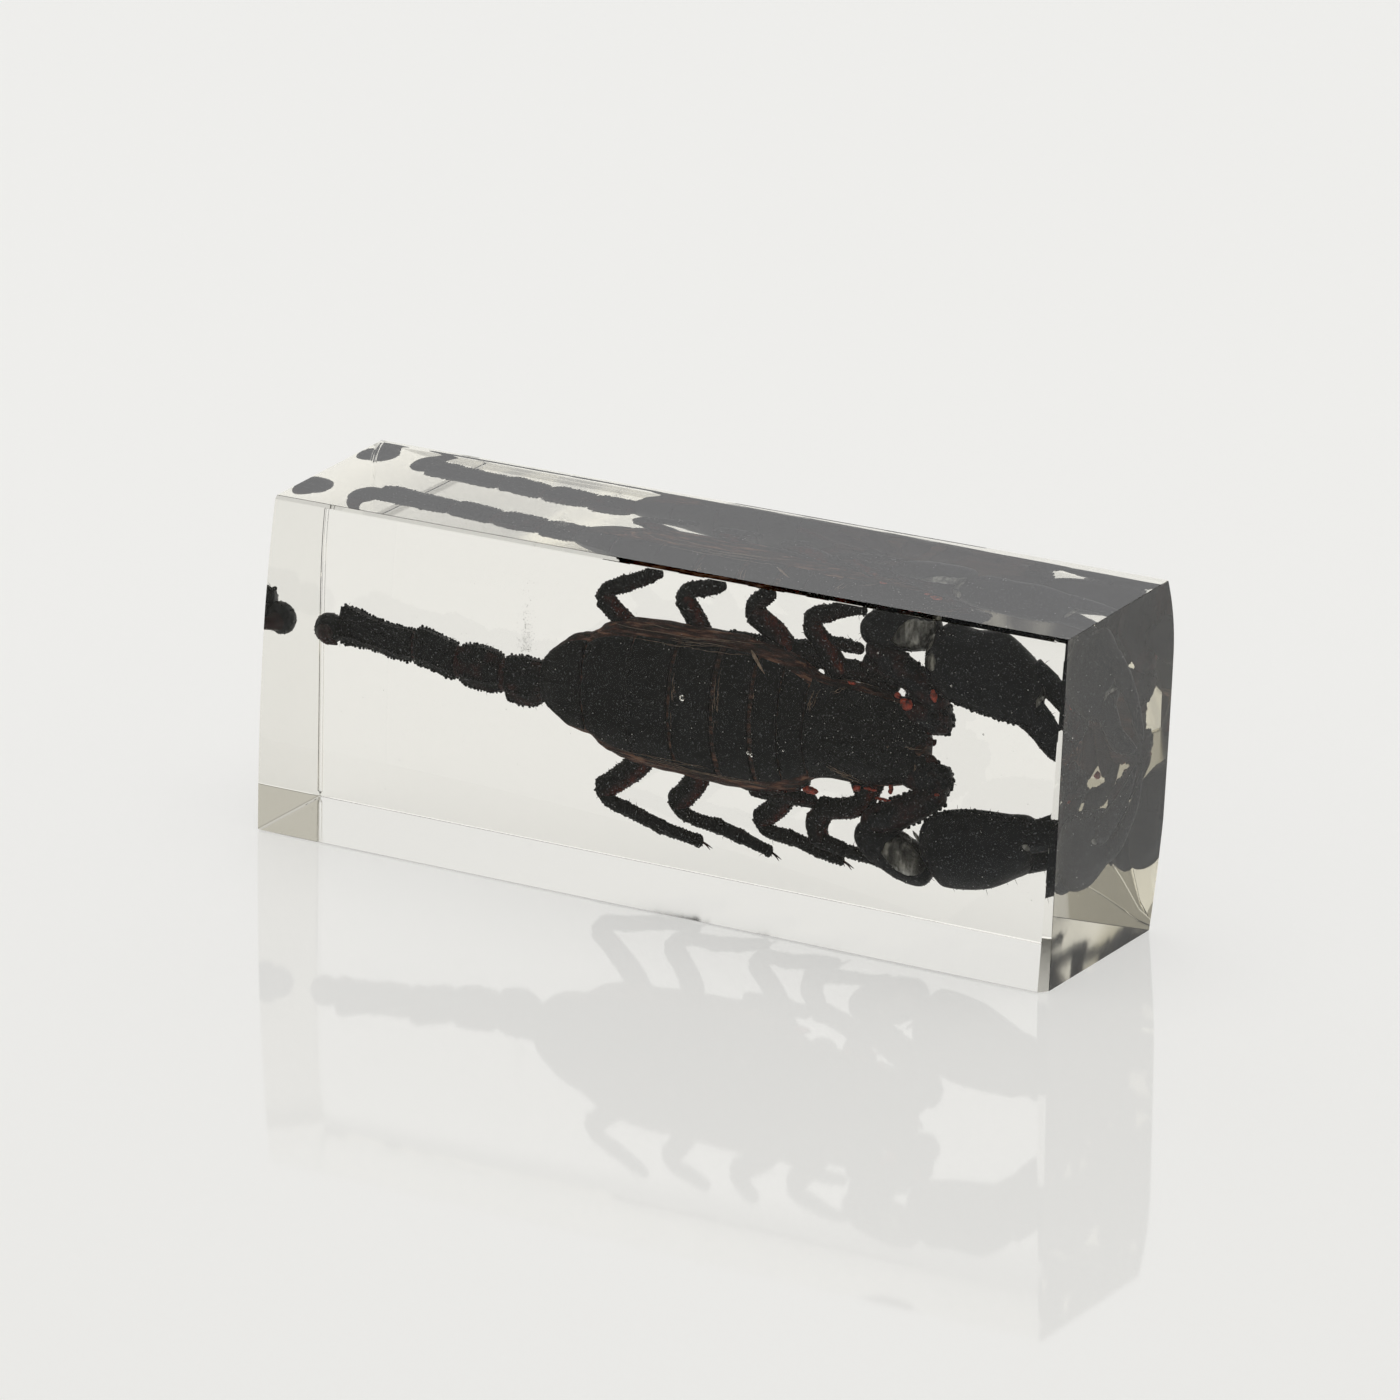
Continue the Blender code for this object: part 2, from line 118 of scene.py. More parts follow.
# the back plates: rear edge, front edge, skin left bare behind the rear edge, and the degrees from
# the middle of the back to each side
BACK_PLATES = (
    (-21.3, -14.8, 0.0, 58),
    (-14.5, -7.9, 0.15, 52),
    (-7.5, -1.9, 0.35, 54),
    (-1.2, 4.0, 0.70, 55),
    (4.9, 9.2, 0.80, 55),
    (9.6, 12.8, 0.0, 54),
    (13.0, 16.2, 0.0, 52),
)
SHIELD_REAR = 16.5
SHIELD_FRONT = 31.9
EYE_MOUND = 27.0           # where the middle eyes stand along the body

# ---- the tail: each segment's two ends and its fullest place as x, z, half width
TAIL_DEPTH = 21.4
TAIL_HALF_DEPTH = 2.3
TAIL = (
    ((-27.3, 21.8, 2.5), (-24.2, 21.6, 3.3), (-21.2, 22.0, 2.5)),
    ((-33.8, 22.4, 2.2), (-30.6, 22.2, 2.9), (-27.3, 22.1, 2.4)),
    ((-40.2, 23.5, 2.2), (-37.0, 23.1, 2.4), (-33.8, 22.5, 2.2)),
    ((-50.9, 24.4, 2.2), (-45.6, 23.8, 2.0), (-40.1, 23.3, 1.9)),
)
BULB = (-52.0, 19.9, 23.8)
BULB_RADII = (1.95, 3.0, 2.0)
STING = ((-52.0, 17.6, 23.7, 1.2), (-51.4, 16.0, 23.6, 0.9), (-50.4, 14.6, 23.4, 0.6),
         (-48.6, 13.4, 23.3, 0.15))

# ---- legs from the body to the foot: x, depth, z, radius
LEGS = {
    "low_1": ((24.6, 20.5, 18.0, 1.4), (22.9, 20.5, 14.6, 1.3), (17.6, 21.3, 12.9, 1.3),
              (16.4, 22.0, 10.6, 1.5), (16.8, 22.0, 8.6, 1.1), (20.2, 21.6, 8.1, 0.8),
              (24.9, 21.2, 7.6, 0.65), (27.4, 20.8, 6.9, 0.5)),
    "low_2": ((13.2, 21.5, 16.2, 1.5), (11.5, 22.3, 12.6, 1.5), (8.2, 24.0, 9.4, 1.2),
              (8.8, 23.9, 8.4, 1.0), (12.7, 23.2, 7.9, 0.9), (16.9, 22.6, 7.0, 0.8),
              (20.1, 22.0, 6.5, 0.5)),
    "low_3": ((0.2, 21.8, 16.2, 1.5), (-0.4, 22.4, 13.1, 1.6), (-3.5, 24.0, 9.5, 1.3),
              (-2.8, 24.0, 8.3, 1.0), (2.8, 23.0, 7.5, 0.9), (6.0, 22.4, 6.9, 0.85),
              (10.2, 21.8, 5.9, 0.65)),
    "low_4": ((-6.6, 21.8, 16.2, 1.5), (-8.9, 22.6, 13.3, 1.6), (-13.9, 24.0, 9.2, 1.25),
              (-13.2, 23.9, 8.1, 1.0), (-10.2, 23.0, 7.4, 0.9), (-5.0, 22.3, 6.1, 0.85),
              (0.6, 21.8, 5.4, 0.65)),
    "high_1": ((19.4, 20.6, 30.4, 1.5), (17.4, 20.6, 33.2, 1.5), (15.5, 20.5, 35.4, 1.2),
               (15.4, 20.4, 36.5, 1.1), (17.4, 20.4, 37.6, 1.05), (19.4, 20.5, 38.4, 0.9),
               (21.4, 20.6, 38.8, 0.7), (22.6, 20.7, 38.8, 0.4)),
    "high_2": ((12.4, 21.3, 31.2, 1.6), (10.6, 21.1, 33.6, 1.6), (7.5, 20.9, 35.7, 1.3),
               (7.4, 20.8, 36.7, 1.1), (8.2, 20.7, 37.7, 1.0), (9.0, 20.6, 38.4, 0.95),
               (9.7, 20.5, 38.8, 0.8), (10.1, 20.5, 39.0, 0.55)),
    "high_3": ((0.6, 21.4, 31.0, 1.5), (-0.6, 21.3, 33.4, 1.45), (-2.3, 21.3, 35.8, 1.25),
               (-1.9, 21.2, 36.9, 1.05), (0.2, 20.9, 37.7, 0.95), (1.9, 20.7, 38.3, 0.9),
               (2.8, 20.6, 38.6, 0.75), (3.3, 20.5, 38.8, 0.5)),
    "high_4": ((-9.2, 21.4, 30.4, 1.4), (-10.9, 21.3, 31.9, 1.4), (-13.4, 21.3, 34.0, 1.25),
               (-13.0, 21.2, 35.1, 1.05), (-10.2, 20.9, 36.6, 0.95), (-6.9, 20.6, 38.2, 0.85),
               (-5.9, 20.5, 38.7, 0.7), (-5.4, 20.4, 38.9, 0.5)),
}
# short pieces between the legs and the body: x, depth, z, half width, half thickness
LEG_BASES = {
    "low": (((7.0, 21.6, 13.5, 0.9, 0.9), (11.8, 21.6, 13.5, 1.1, 1.1), (16.6, 21.4, 13.4, 0.9, 0.9)),
            ((10.6, 20.6, 15.9, 1.2, 1.2), (13.6, 20.6, 16.0, 1.2, 1.2), (15.7, 20.6, 16.5, 1.0, 1.0)),
            ((4.4, 20.6, 14.4, 0.6, 0.7), (8.6, 20.4, 14.3, 0.9, 0.9), (12.6, 20.6, 14.6, 0.8, 0.8)),
            ((21.6, 20.6, 16.2, 1.2, 1.2), (23.2, 20.6, 17.0, 1.4, 1.3), (25.4, 20.6, 17.6, 0.9, 0.9))),
    "high": (((10.8, 21.4, 31.4, 1.4, 1.2), (14.6, 21.4, 31.9, 1.8, 1.4), (18.2, 21.4, 32.0, 1.5, 1.2)),
             ((17.0, 21.0, 31.0, 1.3, 1.2), (21.4, 21.0, 31.0, 1.3, 1.3), (27.5, 21.0, 30.3, 1.3, 1.2)),
             ((3.8, 20.6, 32.7, 0.5, 0.7), (8.2, 20.4, 32.6, 0.8, 0.9), (12.6, 20.6, 32.0, 0.8, 0.8)),
             ((16.9, 20.8, 34.1, 0.7, 0.7), (19.8, 20.6, 34.1, 0.8, 0.8), (22.6, 20.4, 33.9, 0.7, 0.7)),
             ((22.4, 20.4, 32.6, 1.5, 1.4), (25.6, 20.6, 31.8, 1.9, 1.5), (28.8, 20.8, 31.2, 0.9, 1.0))),
}

# ---- claws: inner edge x, depth, z; outer edge x, depth, z; half thickness
LOW_HAND = (
    (31.6, 17.9, 13.2, 31.6, 19.3, 11.2, 0.9),
    (31.9, 17.6, 13.9, 31.9, 19.6, 10.0, 1.9),
    (32.8, 17.1, 15.0, 32.8, 19.9, 8.6, 2.7),
    (34.9, 16.2, 16.2, 34.9, 20.5, 6.6, 3.3),
    (38.0, 15.9, 17.0, 38.0, 20.6, 6.9, 3.6),
    (41.0, 15.8, 17.3, 41.0, 20.8, 7.7, 3.5),
    (43.6, 15.9, 17.3, 43.6, 21.3, 9.2, 3.1),
    (46.2, 16.6, 17.2, 46.2, 22.0, 11.0, 2.6),
    (46.9, 17.4, 16.4, 46.9, 21.6, 12.0, 1.2),
)
HIGH_HAND = (
    (31.6, 17.9, 33.8, 31.6, 19.3, 36.0, 0.9),
    (31.9, 17.5, 33.0, 31.9, 19.6, 37.2, 1.9),
    (32.8, 16.9, 31.9, 32.8, 19.9, 38.2, 2.7),
    (34.9, 15.7, 30.9, 34.9, 20.3, 39.5, 3.3),
    (38.0, 15.4, 30.2, 38.0, 20.3, 39.0, 3.6),
    (41.0, 15.3, 29.7, 41.0, 20.3, 39.4, 3.5),
    (43.6, 15.5, 29.4, 43.6, 20.4, 38.2, 3.1),
    (46.2, 16.3, 29.2, 46.2, 20.8, 35.6, 2.6),
    (46.9, 17.2, 30.0, 46.9, 20.2, 33.6, 1.2),
)
# fingers and arm segments: x, depth, z, half width, half thickness
ARMS = {
    "low_fixed_finger": ((44.8, 18.0, 15.2, 2.4, 2.0), (47.6, 18.3, 15.6, 2.0, 1.7),
                         (50.0, 19.2, 17.3, 1.5, 1.4), (52.2, 20.5, 19.8, 1.0, 1.0),
                         (53.6, 21.6, 22.6, 0.3, 0.3)),
    "low_movable_finger": ((44.8, 20.4, 11.8, 2.0, 1.9), (47.4, 21.2, 12.4, 1.6, 1.6),
                           (50.0, 22.0, 14.6, 1.3, 1.3), (52.6, 22.7, 18.2, 0.9, 0.9),
                           (53.7, 23.0, 21.6, 0.3, 0.3)),
    "low_trochanter": ((28.0, 20.6, 20.2, 1.9, 2.2), (31.0, 19.8, 19.8, 2.2, 2.6),
                       (34.0, 19.2, 19.2, 2.3, 2.4), (34.9, 19.0, 18.9, 1.9, 2.0)),
    "low_femur": ((34.2, 19.2, 18.6, 1.6, 2.0), (30.2, 19.1, 15.7, 1.8, 2.4),
                  (26.2, 19.4, 13.5, 1.9, 2.5), (23.4, 19.8, 12.3, 1.3, 2.1)),
    "low_patella": ((22.6, 20.0, 12.0, 1.3, 2.0), (24.6, 19.9, 10.8, 2.4, 2.7),
                    (28.0, 19.7, 9.4, 2.8, 3.0), (31.4, 19.6, 8.2, 2.4, 2.7),
                    (33.2, 19.6, 7.9, 1.5, 1.9)),
    "high_fixed_finger": ((44.8, 17.6, 31.4, 2.4, 2.0), (47.2, 18.0, 29.2, 2.0, 1.7),
                          (49.2, 18.8, 26.6, 1.6, 1.4), (51.8, 20.2, 25.2, 1.0, 1.0),
                          (53.2, 21.6, 24.4, 0.3, 0.3)),
    "high_movable_finger": ((44.8, 19.9, 35.4, 2.0, 1.9), (47.2, 20.6, 33.9, 1.6, 1.6),
                            (49.6, 21.6, 31.4, 1.3, 1.3), (52.4, 22.5, 27.2, 0.9, 0.9),
                            (53.7, 23.0, 25.2, 0.3, 0.3)),
    "high_trochanter": ((28.0, 20.6, 27.2, 1.9, 2.2), (31.0, 19.8, 27.6, 2.2, 2.6),
                        (33.8, 19.2, 28.0, 2.4, 2.4), (34.7, 19.0, 28.3, 1.9, 2.0)),
    "high_femur": ((34.2, 19.2, 28.8, 1.6, 2.0), (30.2, 19.1, 31.5, 1.8, 2.4),
                   (26.2, 19.4, 33.8, 1.9, 2.5), (23.4, 19.8, 35.3, 1.3, 2.1)),
    "high_patella": ((22.6, 20.0, 35.6, 1.3, 2.0), (24.6, 19.9, 36.9, 2.4, 2.7),
                     (28.0, 19.7, 37.7, 2.8, 3.0), (31.4, 19.6, 38.2, 2.4, 2.7),
                     (33.2, 19.6, 38.3, 1.5, 1.9)),
}

CLAW_SHADE = 2.2           # how much lighter the claws are than the rest of the shell

# ---- silvery air films that lie on the arms: outlines as (x, z) seen from the front
AIR_FILMS = (
    ((27.0, 36.4), (28.2, 38.2), (30.2, 39.6), (32.4, 39.6), (32.9, 37.4), (31.9, 35.7), (29.6, 35.4),
     (28.2, 35.7)),
    ((26.8, 9.7), (27.8, 11.4), (29.2, 12.2), (30.8, 10.9), (32.6, 8.8), (31.9, 7.8), (30.6, 7.5),
     (28.6, 8.0)),
)
BUBBLES = (
    (0.6, 12.0, 25.3, 0.42), (9.5, 13.0, 19.8, 0.24), (10.0, 13.0, 19.6, 0.26), (41.2, 12.5, 27.9, 0.12),
    (-33.5, 16.0, 26.2, 0.11), (27.0, 12.0, 35.6, 0.13), (14.4, 12.6, 21.0, 0.13), (36.8, 12.2, 33.2, 0.15),
)


# ---- plain geometry helpers

def place(points):
    """Places given in millimetres as (x, depth, z), turned into metres of the scene."""
    points = np.asarray(points, float)
    return (points - MIDDLE) * MM


def smooth(rows, steps):
    """Rows of numbers read at even distances along them, on a curve that passes through every row."""
    rows = np.asarray(rows, float)
    gaps = np.linalg.norm(np.diff(rows[:, :3], axis=0), axis=1)
    marks = np.concatenate(([0.0], np.cumsum(gaps)))
    slopes = np.diff(rows, axis=0) / gaps[:, None]
    tangents = np.vstack((slopes[:1], (slopes[1:] + slopes[:-1]) / 2, slopes[-1:]))
    tangents[1:-1][slopes[1:] * slopes[:-1] <= 0] = 0
    wanted = np.linspace(0, marks[-1], steps)
    index = np.clip(np.searchsorted(marks, wanted, side="right") - 1, 0, len(gaps) - 1)
    span = gaps[index][:, None]
    t = (wanted - marks[index])[:, None] / span
    return ((2 * t**3 - 3 * t**2 + 1) * rows[index] + (t**3 - 2 * t**2 + t) * span * tangents[index]
            + (3 * t**2 - 2 * t**3) * rows[index + 1] + (t**3 - t**2) * span * tangents[index + 1])


def unit(vectors):
    return vectors / np.maximum(np.linalg.norm(vectors, axis=-1, keepdims=True), 1e-9)


def blotches(points, size, seed):
    """Smooth random values from -1 to 1 over the points, in patches of about the given size."""
    scaled = np.asarray(points, float) / size + seed * 7.31
    corner = np.floor(scaled).astype(np.int64)
    share = scaled - corner
    share = share * share * (3 - 2 * share)
    total = np.zeros(scaled.shape[:-1])
    for step in itertools.product((0, 1), repeat=3):
        cell = corner + np.array(step)
        mixed = cell[..., 0] * 73856093 ^ cell[..., 1] * 19349663 ^ cell[..., 2] * 83492791 ^ seed * 2654435
        mixed = (mixed ^ (mixed >> 13)) * 1274126177
        value = ((mixed ^ (mixed >> 16)) & 0xFFFF) / 32767.5 - 1
        weight = np.prod(np.where(np.array(step) == 1, share, 1 - share), axis=-1)
        total += value * weight
    return total


class Shape:
    """Gathers closed forms, in millimetres, into one mesh with a tint from 0 to 1 at each point."""

    def __init__(self):
        self.points = []
        self.faces = []
        self.tints = []
        self.count = 0

    def add(self, points, faces, tint=0.0):
        points = np.asarray(points, float).reshape(-1, 3)
        self.points.append(points)
        self.faces.extend([tuple(index + self.count for index in face) for face in faces])
        self.tints.append(np.broadcast_to(np.asarray(tint, float).reshape(-1), (len(points),)))
        self.count += len(points)

    def grid(self, grid, tint=0.0, caps=None):
        """Rings of points, closed around, with a point at each end."""
        rings, sides = grid.shape[:2]
        faces = []
        for ring in range(rings - 1):
            for side in range(sides):
                after = (side + 1) % sides
                faces.append((ring * sides + side, ring * sides + after,
                              (ring + 1) * sides + after, (ring + 1) * sides + side))
        points = grid.reshape(-1, 3)
        ends = (grid[0].mean(axis=0), grid[-1].mean(axis=0)) if caps is None else caps
        first, last = len(points), len(points) + 1
        for side in range(sides):
            after = (side + 1) % sides
            faces.append((first, after, side))
            faces.append((last, (rings - 1) * sides + side, (rings - 1) * sides + after))
        tint = np.broadcast_to(np.asarray(tint, float), (rings, sides))
        tints = np.concatenate((tint.reshape(-1), [tint[0].mean(), tint[-1].mean()]))
        self.add(np.vstack((points, ends)), faces, tints)

    def sheet(self, outer, inner, tint=0.0):
        """A closed plate between two grids of points of the same size."""
        rows, columns = outer.shape[:2]
        size = rows * columns
        faces = []
        for row in range(rows - 1):
            for column in range(columns - 1):
                a = row * columns + column
                face = (a, a + 1, a + columns + 1, a + columns)
                faces.append(face)
                faces.append(tuple(size + index for index in reversed(face)))
        rim = list(range(columns))
        rim += [row * columns + columns - 1 for row in range(1, rows)]
        rim += [(rows - 1) * columns + column for column in range(columns - 2, -1, -1)]
        rim += [row * columns for row in range(rows - 2, 0, -1)]
        for here, after in zip(rim, rim[1:] + rim[:1]):
            faces.append((here, here + size, after + size, after))
        tint = np.broadcast_to(np.asarray(tint, float), (rows, columns)).reshape(-1)
        self.add(np.vstack((outer.reshape(-1, 3), inner.reshape(-1, 3))), faces, np.concatenate((tint, tint)))

    def build(self, name, material):
        mesh = bpy.data.meshes.new(name)
        mesh.from_pydata(place(np.vstack(self.points)).tolist(), [], self.faces)
        made = mesh.attributes.new("tint", "FLOAT", "POINT")
        made.data.foreach_set("value", np.concatenate(self.tints).astype(np.float32))
        bm = bmesh.new()
        bm.from_mesh(mesh)
        bmesh.ops.recalc_face_normals(bm, faces=bm.faces)
        bm.to_mesh(mesh)
        bm.free()
        mesh.shade_smooth()
        mesh.materials.append(material)
        piece = bpy.data.objects.new(name, mesh)
        bpy.context.scene.collection.objects.link(piece)
        return piece


def ride(piece, slot, *nodes):
    """The piece belongs to the one body and stands for the named solids; the named finish (slot) is not used.
    """
    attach(piece, "root")
    for node in nodes:
        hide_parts(node)
    return piece


def end_rounding(distance_to_start, distance_to_end, start_reach, end_reach):
    """Shrinks a form's rings towards its two ends so that they close in domes."""
    start = np.clip(distance_to_start / start_reach, 0, 1)
    end = np.clip(distance_to_end / end_reach, 0, 1)
    first, last = (np.sqrt(np.clip(1 - (1 - share) ** 2, 0.0004, 1)) for share in (start, end))
    return first * last


def limb(rows, steps, sides, dome=0.8, relief=None):
    """The rings of a tapering limb: rows of x, depth, z, half width, half thickness."""
    path = smooth(rows, steps)
    centres = path[:, :3]
    along = unit(np.gradient(centres, axis=0))
    across = unit(np.cross(along, np.array((0.0, 1.0, 0.0))))
    through = unit(np.cross(across, along))
    travelled = np.concatenate(([0.0], np.cumsum(np.linalg.norm(np.diff(centres, axis=0), axis=1))))
    closing = end_rounding(travelled, travelled[-1] - travelled, dome, dome)
    angle = np.linspace(0, 2 * math.pi, sides, endpoint=False)
    cosine, sine = np.cos(angle), np.sin(angle)
    width = (path[:, 3] * closing)[:, None, None]
    depth = (path[:, 4] * closing)[:, None, None]
    outward = (across[:, None, :] * cosine[None, :, None] * width
               + through[:, None, :] * sine[None, :, None] * depth)
    grid = centres[:, None, :] + outward
    if relief is not None:
        share = (travelled / travelled[-1])[:, None]
        grid = grid + unit(outward) * (relief(share, angle[None, :], grid) * closing[:, None])[..., None]
    return grid


def paddle(rows, steps, sides, relief=None):
    """The rings of a flat swollen form between two edges: see the tables of the hands."""
    rows = np.asarray(rows, float)
    path = smooth(rows, steps)
    inner, outer, half_thickness = path[:, 0:3], path[:, 3:6], path[:, 6]
    centres = (inner + outer) / 2
    across = (inner - outer) / 2
    through = unit(np.cross(np.array((1.0, 0.0, 0.0)), across)) * half_thickness[:, None]
    angle = np.linspace(0, 2 * math.pi, sides, endpoint=False)
    cosine, sine = np.cos(angle), np.sin(angle)
    outward = across[:, None, :] * cosine[None, :, None] + through[:, None, :] * sine[None, :, None]
    grid = centres[:, None, :] + outward
    if relief is not None:
        share = np.linspace(0, 1, steps)[:, None]
        grid = grid + unit(outward) * relief(share, angle[None, :], grid)[..., None]
    return grid


def ball(centre, radii, rings, sides):
    """The rings of a ball or egg."""
    rise = np.linspace(-math.pi / 2 + 0.12, math.pi / 2 - 0.12, rings)[:, None]
    turn = np.linspace(0, 2 * math.pi, sides, endpoint=False)[None, :]
    shape = np.stack((np.cos(rise) * np.cos(turn), np.cos(rise) * np.sin(turn), np.sin(rise) + 0 * turn),
                     axis=-1)
    return np.asarray(centre, float) + shape * np.asarray(radii, float)


# the corners of a twenty-sided grain of radius 1, and its faces
GRAIN_POINTS = np.array((
    (0, 1, 1.618), (0, 1, -1.618), (0, -1, 1.618), (0, -1, -1.618),
    (1, 1.618, 0), (1, -1.618, 0), (-1, 1.618, 0), (-1, -1.618, 0),
    (1.618, 0, 1), (-1.618, 0, 1), (1.618, 0, -1), (-1.618, 0, -1))) / 1.902
GRAIN_FACES = [face for face in itertools.combinations(range(12), 3) if all(
    np.linalg.norm(GRAIN_POINTS[a] - GRAIN_POINTS[b]) < 1.1 for a, b in itertools.combinations(face, 2))]


def grains(shape, places, radii, tint=0.0):
    """A hard grain at each place."""
    for centre, radius in zip(places, radii):
        shape.add(centre + GRAIN_POINTS * radius, GRAIN_FACES, tint)


def rough_grains(shape, chance, places, smallest, largest):
    """A grain of random size at each place."""
    grains(shape, places, [chance.uniform(smallest, largest) for _ in places])


def strewn(chance, grid, count, first, last, smallest, largest):
    """Random places on a form's rings, from the first to before the last, each with a random size."""
    return [(grid[chance.randrange(first, last), chance.randrange(grid.shape[1])],
             chance.uniform(smallest, largest)) for _ in range(count)]


# ---- materials

def new_material(name):
    """A material with its node tree and its shader."""
    material = bpy.data.materials.new(name)
    material.use_nodes = True
    tree = material.node_tree
    return material, tree, tree.nodes["Principled BSDF"]


def node(tree, kind, **inputs):
    made = tree.nodes.new(kind)
    for name, value in inputs.items():
        made.inputs[name.replace("_", " ")].default_value = value
    return made


def noise_node(tree, scale, detail=3.0, stretch=(1.0, 1.0, 1.0)):
    """Noise over the object in its own metres, stretched along any axis."""
    where = tree.nodes.new("ShaderNodeTexCoord")
    mapping = tree.nodes.new("ShaderNodeMapping")
    mapping.inputs["Scale"].default_value = stretch
    tree.links.new(where.outputs["Object"], mapping.inputs["Vector"])
    noise = node(tree, "ShaderNodeTexNoise", Scale=scale, Detail=detail)
    tree.links.new(mapping.outputs["Vector"], noise.inputs["Vector"])
    return noise


def ramp_node(tree, source, stops):
    ramp = tree.nodes.new("ShaderNodeValToRGB")
    for index, (position, colour) in enumerate(stops):
        stop = ramp.color_ramp.elements[index] if index < 2 else ramp.color_ramp.elements.new(position)
        stop.position = position
        stop.color = (*colour, 1.0)
    tree.links.new(source, ramp.inputs["Fac"])
    return ramp


def mix_colours(tree, share, first, second, blend="MIX"):
    mix = tree.nodes.new("ShaderNodeMix")
    mix.data_type = "RGBA"
    mix.blend_type = blend
    for socket, value in ((mix.inputs["Factor"], share), (mix.inputs["A"], first), (mix.inputs["B"], second)):
        if isinstance(value, bpy.types.NodeSocket):
            tree.links.new(value, socket)
        else:
            socket.default_value = value if isinstance(value, float) else (*value, 1.0)
    return mix.outputs["Result"]


def bump(tree, shader, height, strength, distance):
    made = node(tree, "ShaderNodeBump", Strength=strength, Distance=distance)
    tree.links.new(height, made.inputs["Height"])
    tree.links.new(made.outputs["Normal"], shader.inputs["Normal"])


RESIN_IOR = 1.555          # an estimate


def clear_resin(name, colours, roughness):
    """Clear casting resin with a faint warm tint in its long paths."""
    material, tree, shader = new_material(name)
    shader.inputs["Base Color"].default_value = (1.0, 1.0, 1.0, 1.0)
    shader.inputs["Roughness"].default_value = roughness
    shader.inputs["IOR"].default_value = RESIN_IOR
    shader.inputs["Transmission Weight"].default_value = 1.0
    waves = noise_node(tree, 55.0, 1.0)
    bump(tree, shader, waves.outputs["Fac"], 0.02, 0.0004)
    absorption = node(tree, "ShaderNodeVolumeAbsorption", Density=colours.resin_density)
    absorption.inputs["Color"].default_value = (*colours.resin_tint, 1.0)
    output = tree.nodes["Material Output"]
    tree.links.new(absorption.outputs["Volume"], output.inputs["Volume"])
    return material


def shell_material(name, colour, thin_colour, dust_share):
    """Near-black horny shell, red-brown where it is thin and brightening to a painted orange glow of light
    through the thinnest shell, under a fine dusty speckle.
    """
    material, tree, shader = new_material(name)
    tint = tree.nodes.new("ShaderNodeAttribute")
    tint.attribute_name = "tint"
    patches = noise_node(tree, 1500.0, 4.0)
    thin = tree.nodes.new("ShaderNodeMath")
    thin.operation = "MULTIPLY"
    tree.links.new(tint.outputs["Fac"], thin.inputs[0])
    patchy = ramp_node(tree, patches.outputs["Fac"], ((0.35, (0.25, 0.25, 0.25)), (0.65, (1.0, 1.0, 1.0))))
    tree.links.new(patchy.outputs["Color"], thin.inputs[1])
    # painted light: past 0.7 the tint runs from the thin shell's red-brown to a bright orange glow, as though
    # lit through from behind
    glow = tuple(min(1.0, channel * share) for channel, share in zip(thin_colour, (4.5, 11.0, 5.0)))
    horn = ramp_node(tree, thin.outputs["Value"], (
        (0.0, tuple(colour)), (1.0, glow), (0.7, tuple(thin_colour))))
    speckle = noise_node(tree, 3600.0, 0.0)
    spots = ramp_node(tree, speckle.outputs["Fac"], ((0.72, (0.0, 0.0, 0.0)), (0.78, (dust_share,) * 3)))
    dusty = mix_colours(tree, spots.outputs["Color"], horn.outputs["Color"], (0.80, 0.84, 0.90))
    tree.links.new(dusty, shader.inputs["Base Color"])
    shader.inputs["Roughness"].default_value = 0.42
    shader.inputs["Specular IOR Level"].default_value = 0.10
    shader.inputs["Specular Tint"].default_value = (0.82, 0.93, 1.0, 1.0)
    streaks = noise_node(tree, 2200.0, 3.0, (0.3, 1.0, 1.4))
    bump(tree, shader, streaks.outputs["Fac"], 0.12, 0.00003)
    return material


def finish_horn(shape, name, material, settings, dust_share, shade=1.0):
    """Build the shape in horny shell, lighter or darker by the shade, and let it ride."""
    colour = tuple(channel * shade for channel in settings.shell)
    horn = shell_material(material, colour, settings.thin_shell, dust_share)
    return ride(shape.build(name, horn), "scorpion_shell")


def skin_material(colours):
    """Dried leathery skin between the plates: brown fibres with paler strands along the body."""
    material, tree, shader = new_material("dried_skin")
    fibres = noise_node(tree, 1100.0, 6.0, (0.20, 1.0, 1.6))
    strands = ramp_node(tree, fibres.outputs["Fac"], (
        (0.40, (0.012, 0.006, 0.006)), (0.68, tuple(colours.skin)), (0.54, (0.055, 0.018, 0.013))))
    tint = tree.nodes.new("ShaderNodeAttribute")
    tint.attribute_name = "tint"
    tree.links.new(mix_colours(tree, tint.outputs["Fac"], (0.012, 0.008, 0.008), strands.outputs["Color"]),
                   shader.inputs["Base Color"])
    shader.inputs["Roughness"].default_value = 0.6
    shader.inputs["Specular IOR Level"].default_value = 0.2
    bump(tree, shader, fibres.outputs["Fac"], 0.8, 0.00025)
    return material


def cloudy_material(name, scale, detail, stops, roughness, stretch=(1.0, 1.0, 1.0)):
    """A finish whose colour runs through the stops in clouds."""
    material, tree, shader = new_material(name)
    cloud = noise_node(tree, scale, detail, stretch)
    colour = ramp_node(tree, cloud.outputs["Fac"], stops)
    tree.links.new(colour.outputs["Color"], shader.inputs["Base Color"])
    shader.inputs["Roughness"].default_value = roughness
    return material, tree, shader


def red_membrane():
    """The thin joint skins, in a cloudy red."""
    stops = ((0.34, (0.060, 0.006, 0.005)), (0.62, (0.52, 0.060, 0.026)))
    return cloudy_material("red_joint_skin", 1400.0, 3.0, stops, 0.35)[0]


def silver_film():
    """Air trapped against the shell, which mirrors the light in cloudy silver."""
    stops = ((0.36, (0.03, 0.03, 0.03)), (0.70, (0.46, 0.46, 0.44)), (0.52, (0.12, 0.12, 0.115)))
    material, tree, shader = cloudy_material("trapped_air_film", 700.0, 5.0, stops, 0.30, (1.4, 1.0, 0.4))
    shader.inputs["Metallic"].default_value = 0.85
    ripples = noise_node(tree, 1300.0, 3.0)
    bump(tree, shader, ripples.outputs["Fac"], 1.0, 0.0003)
    return material


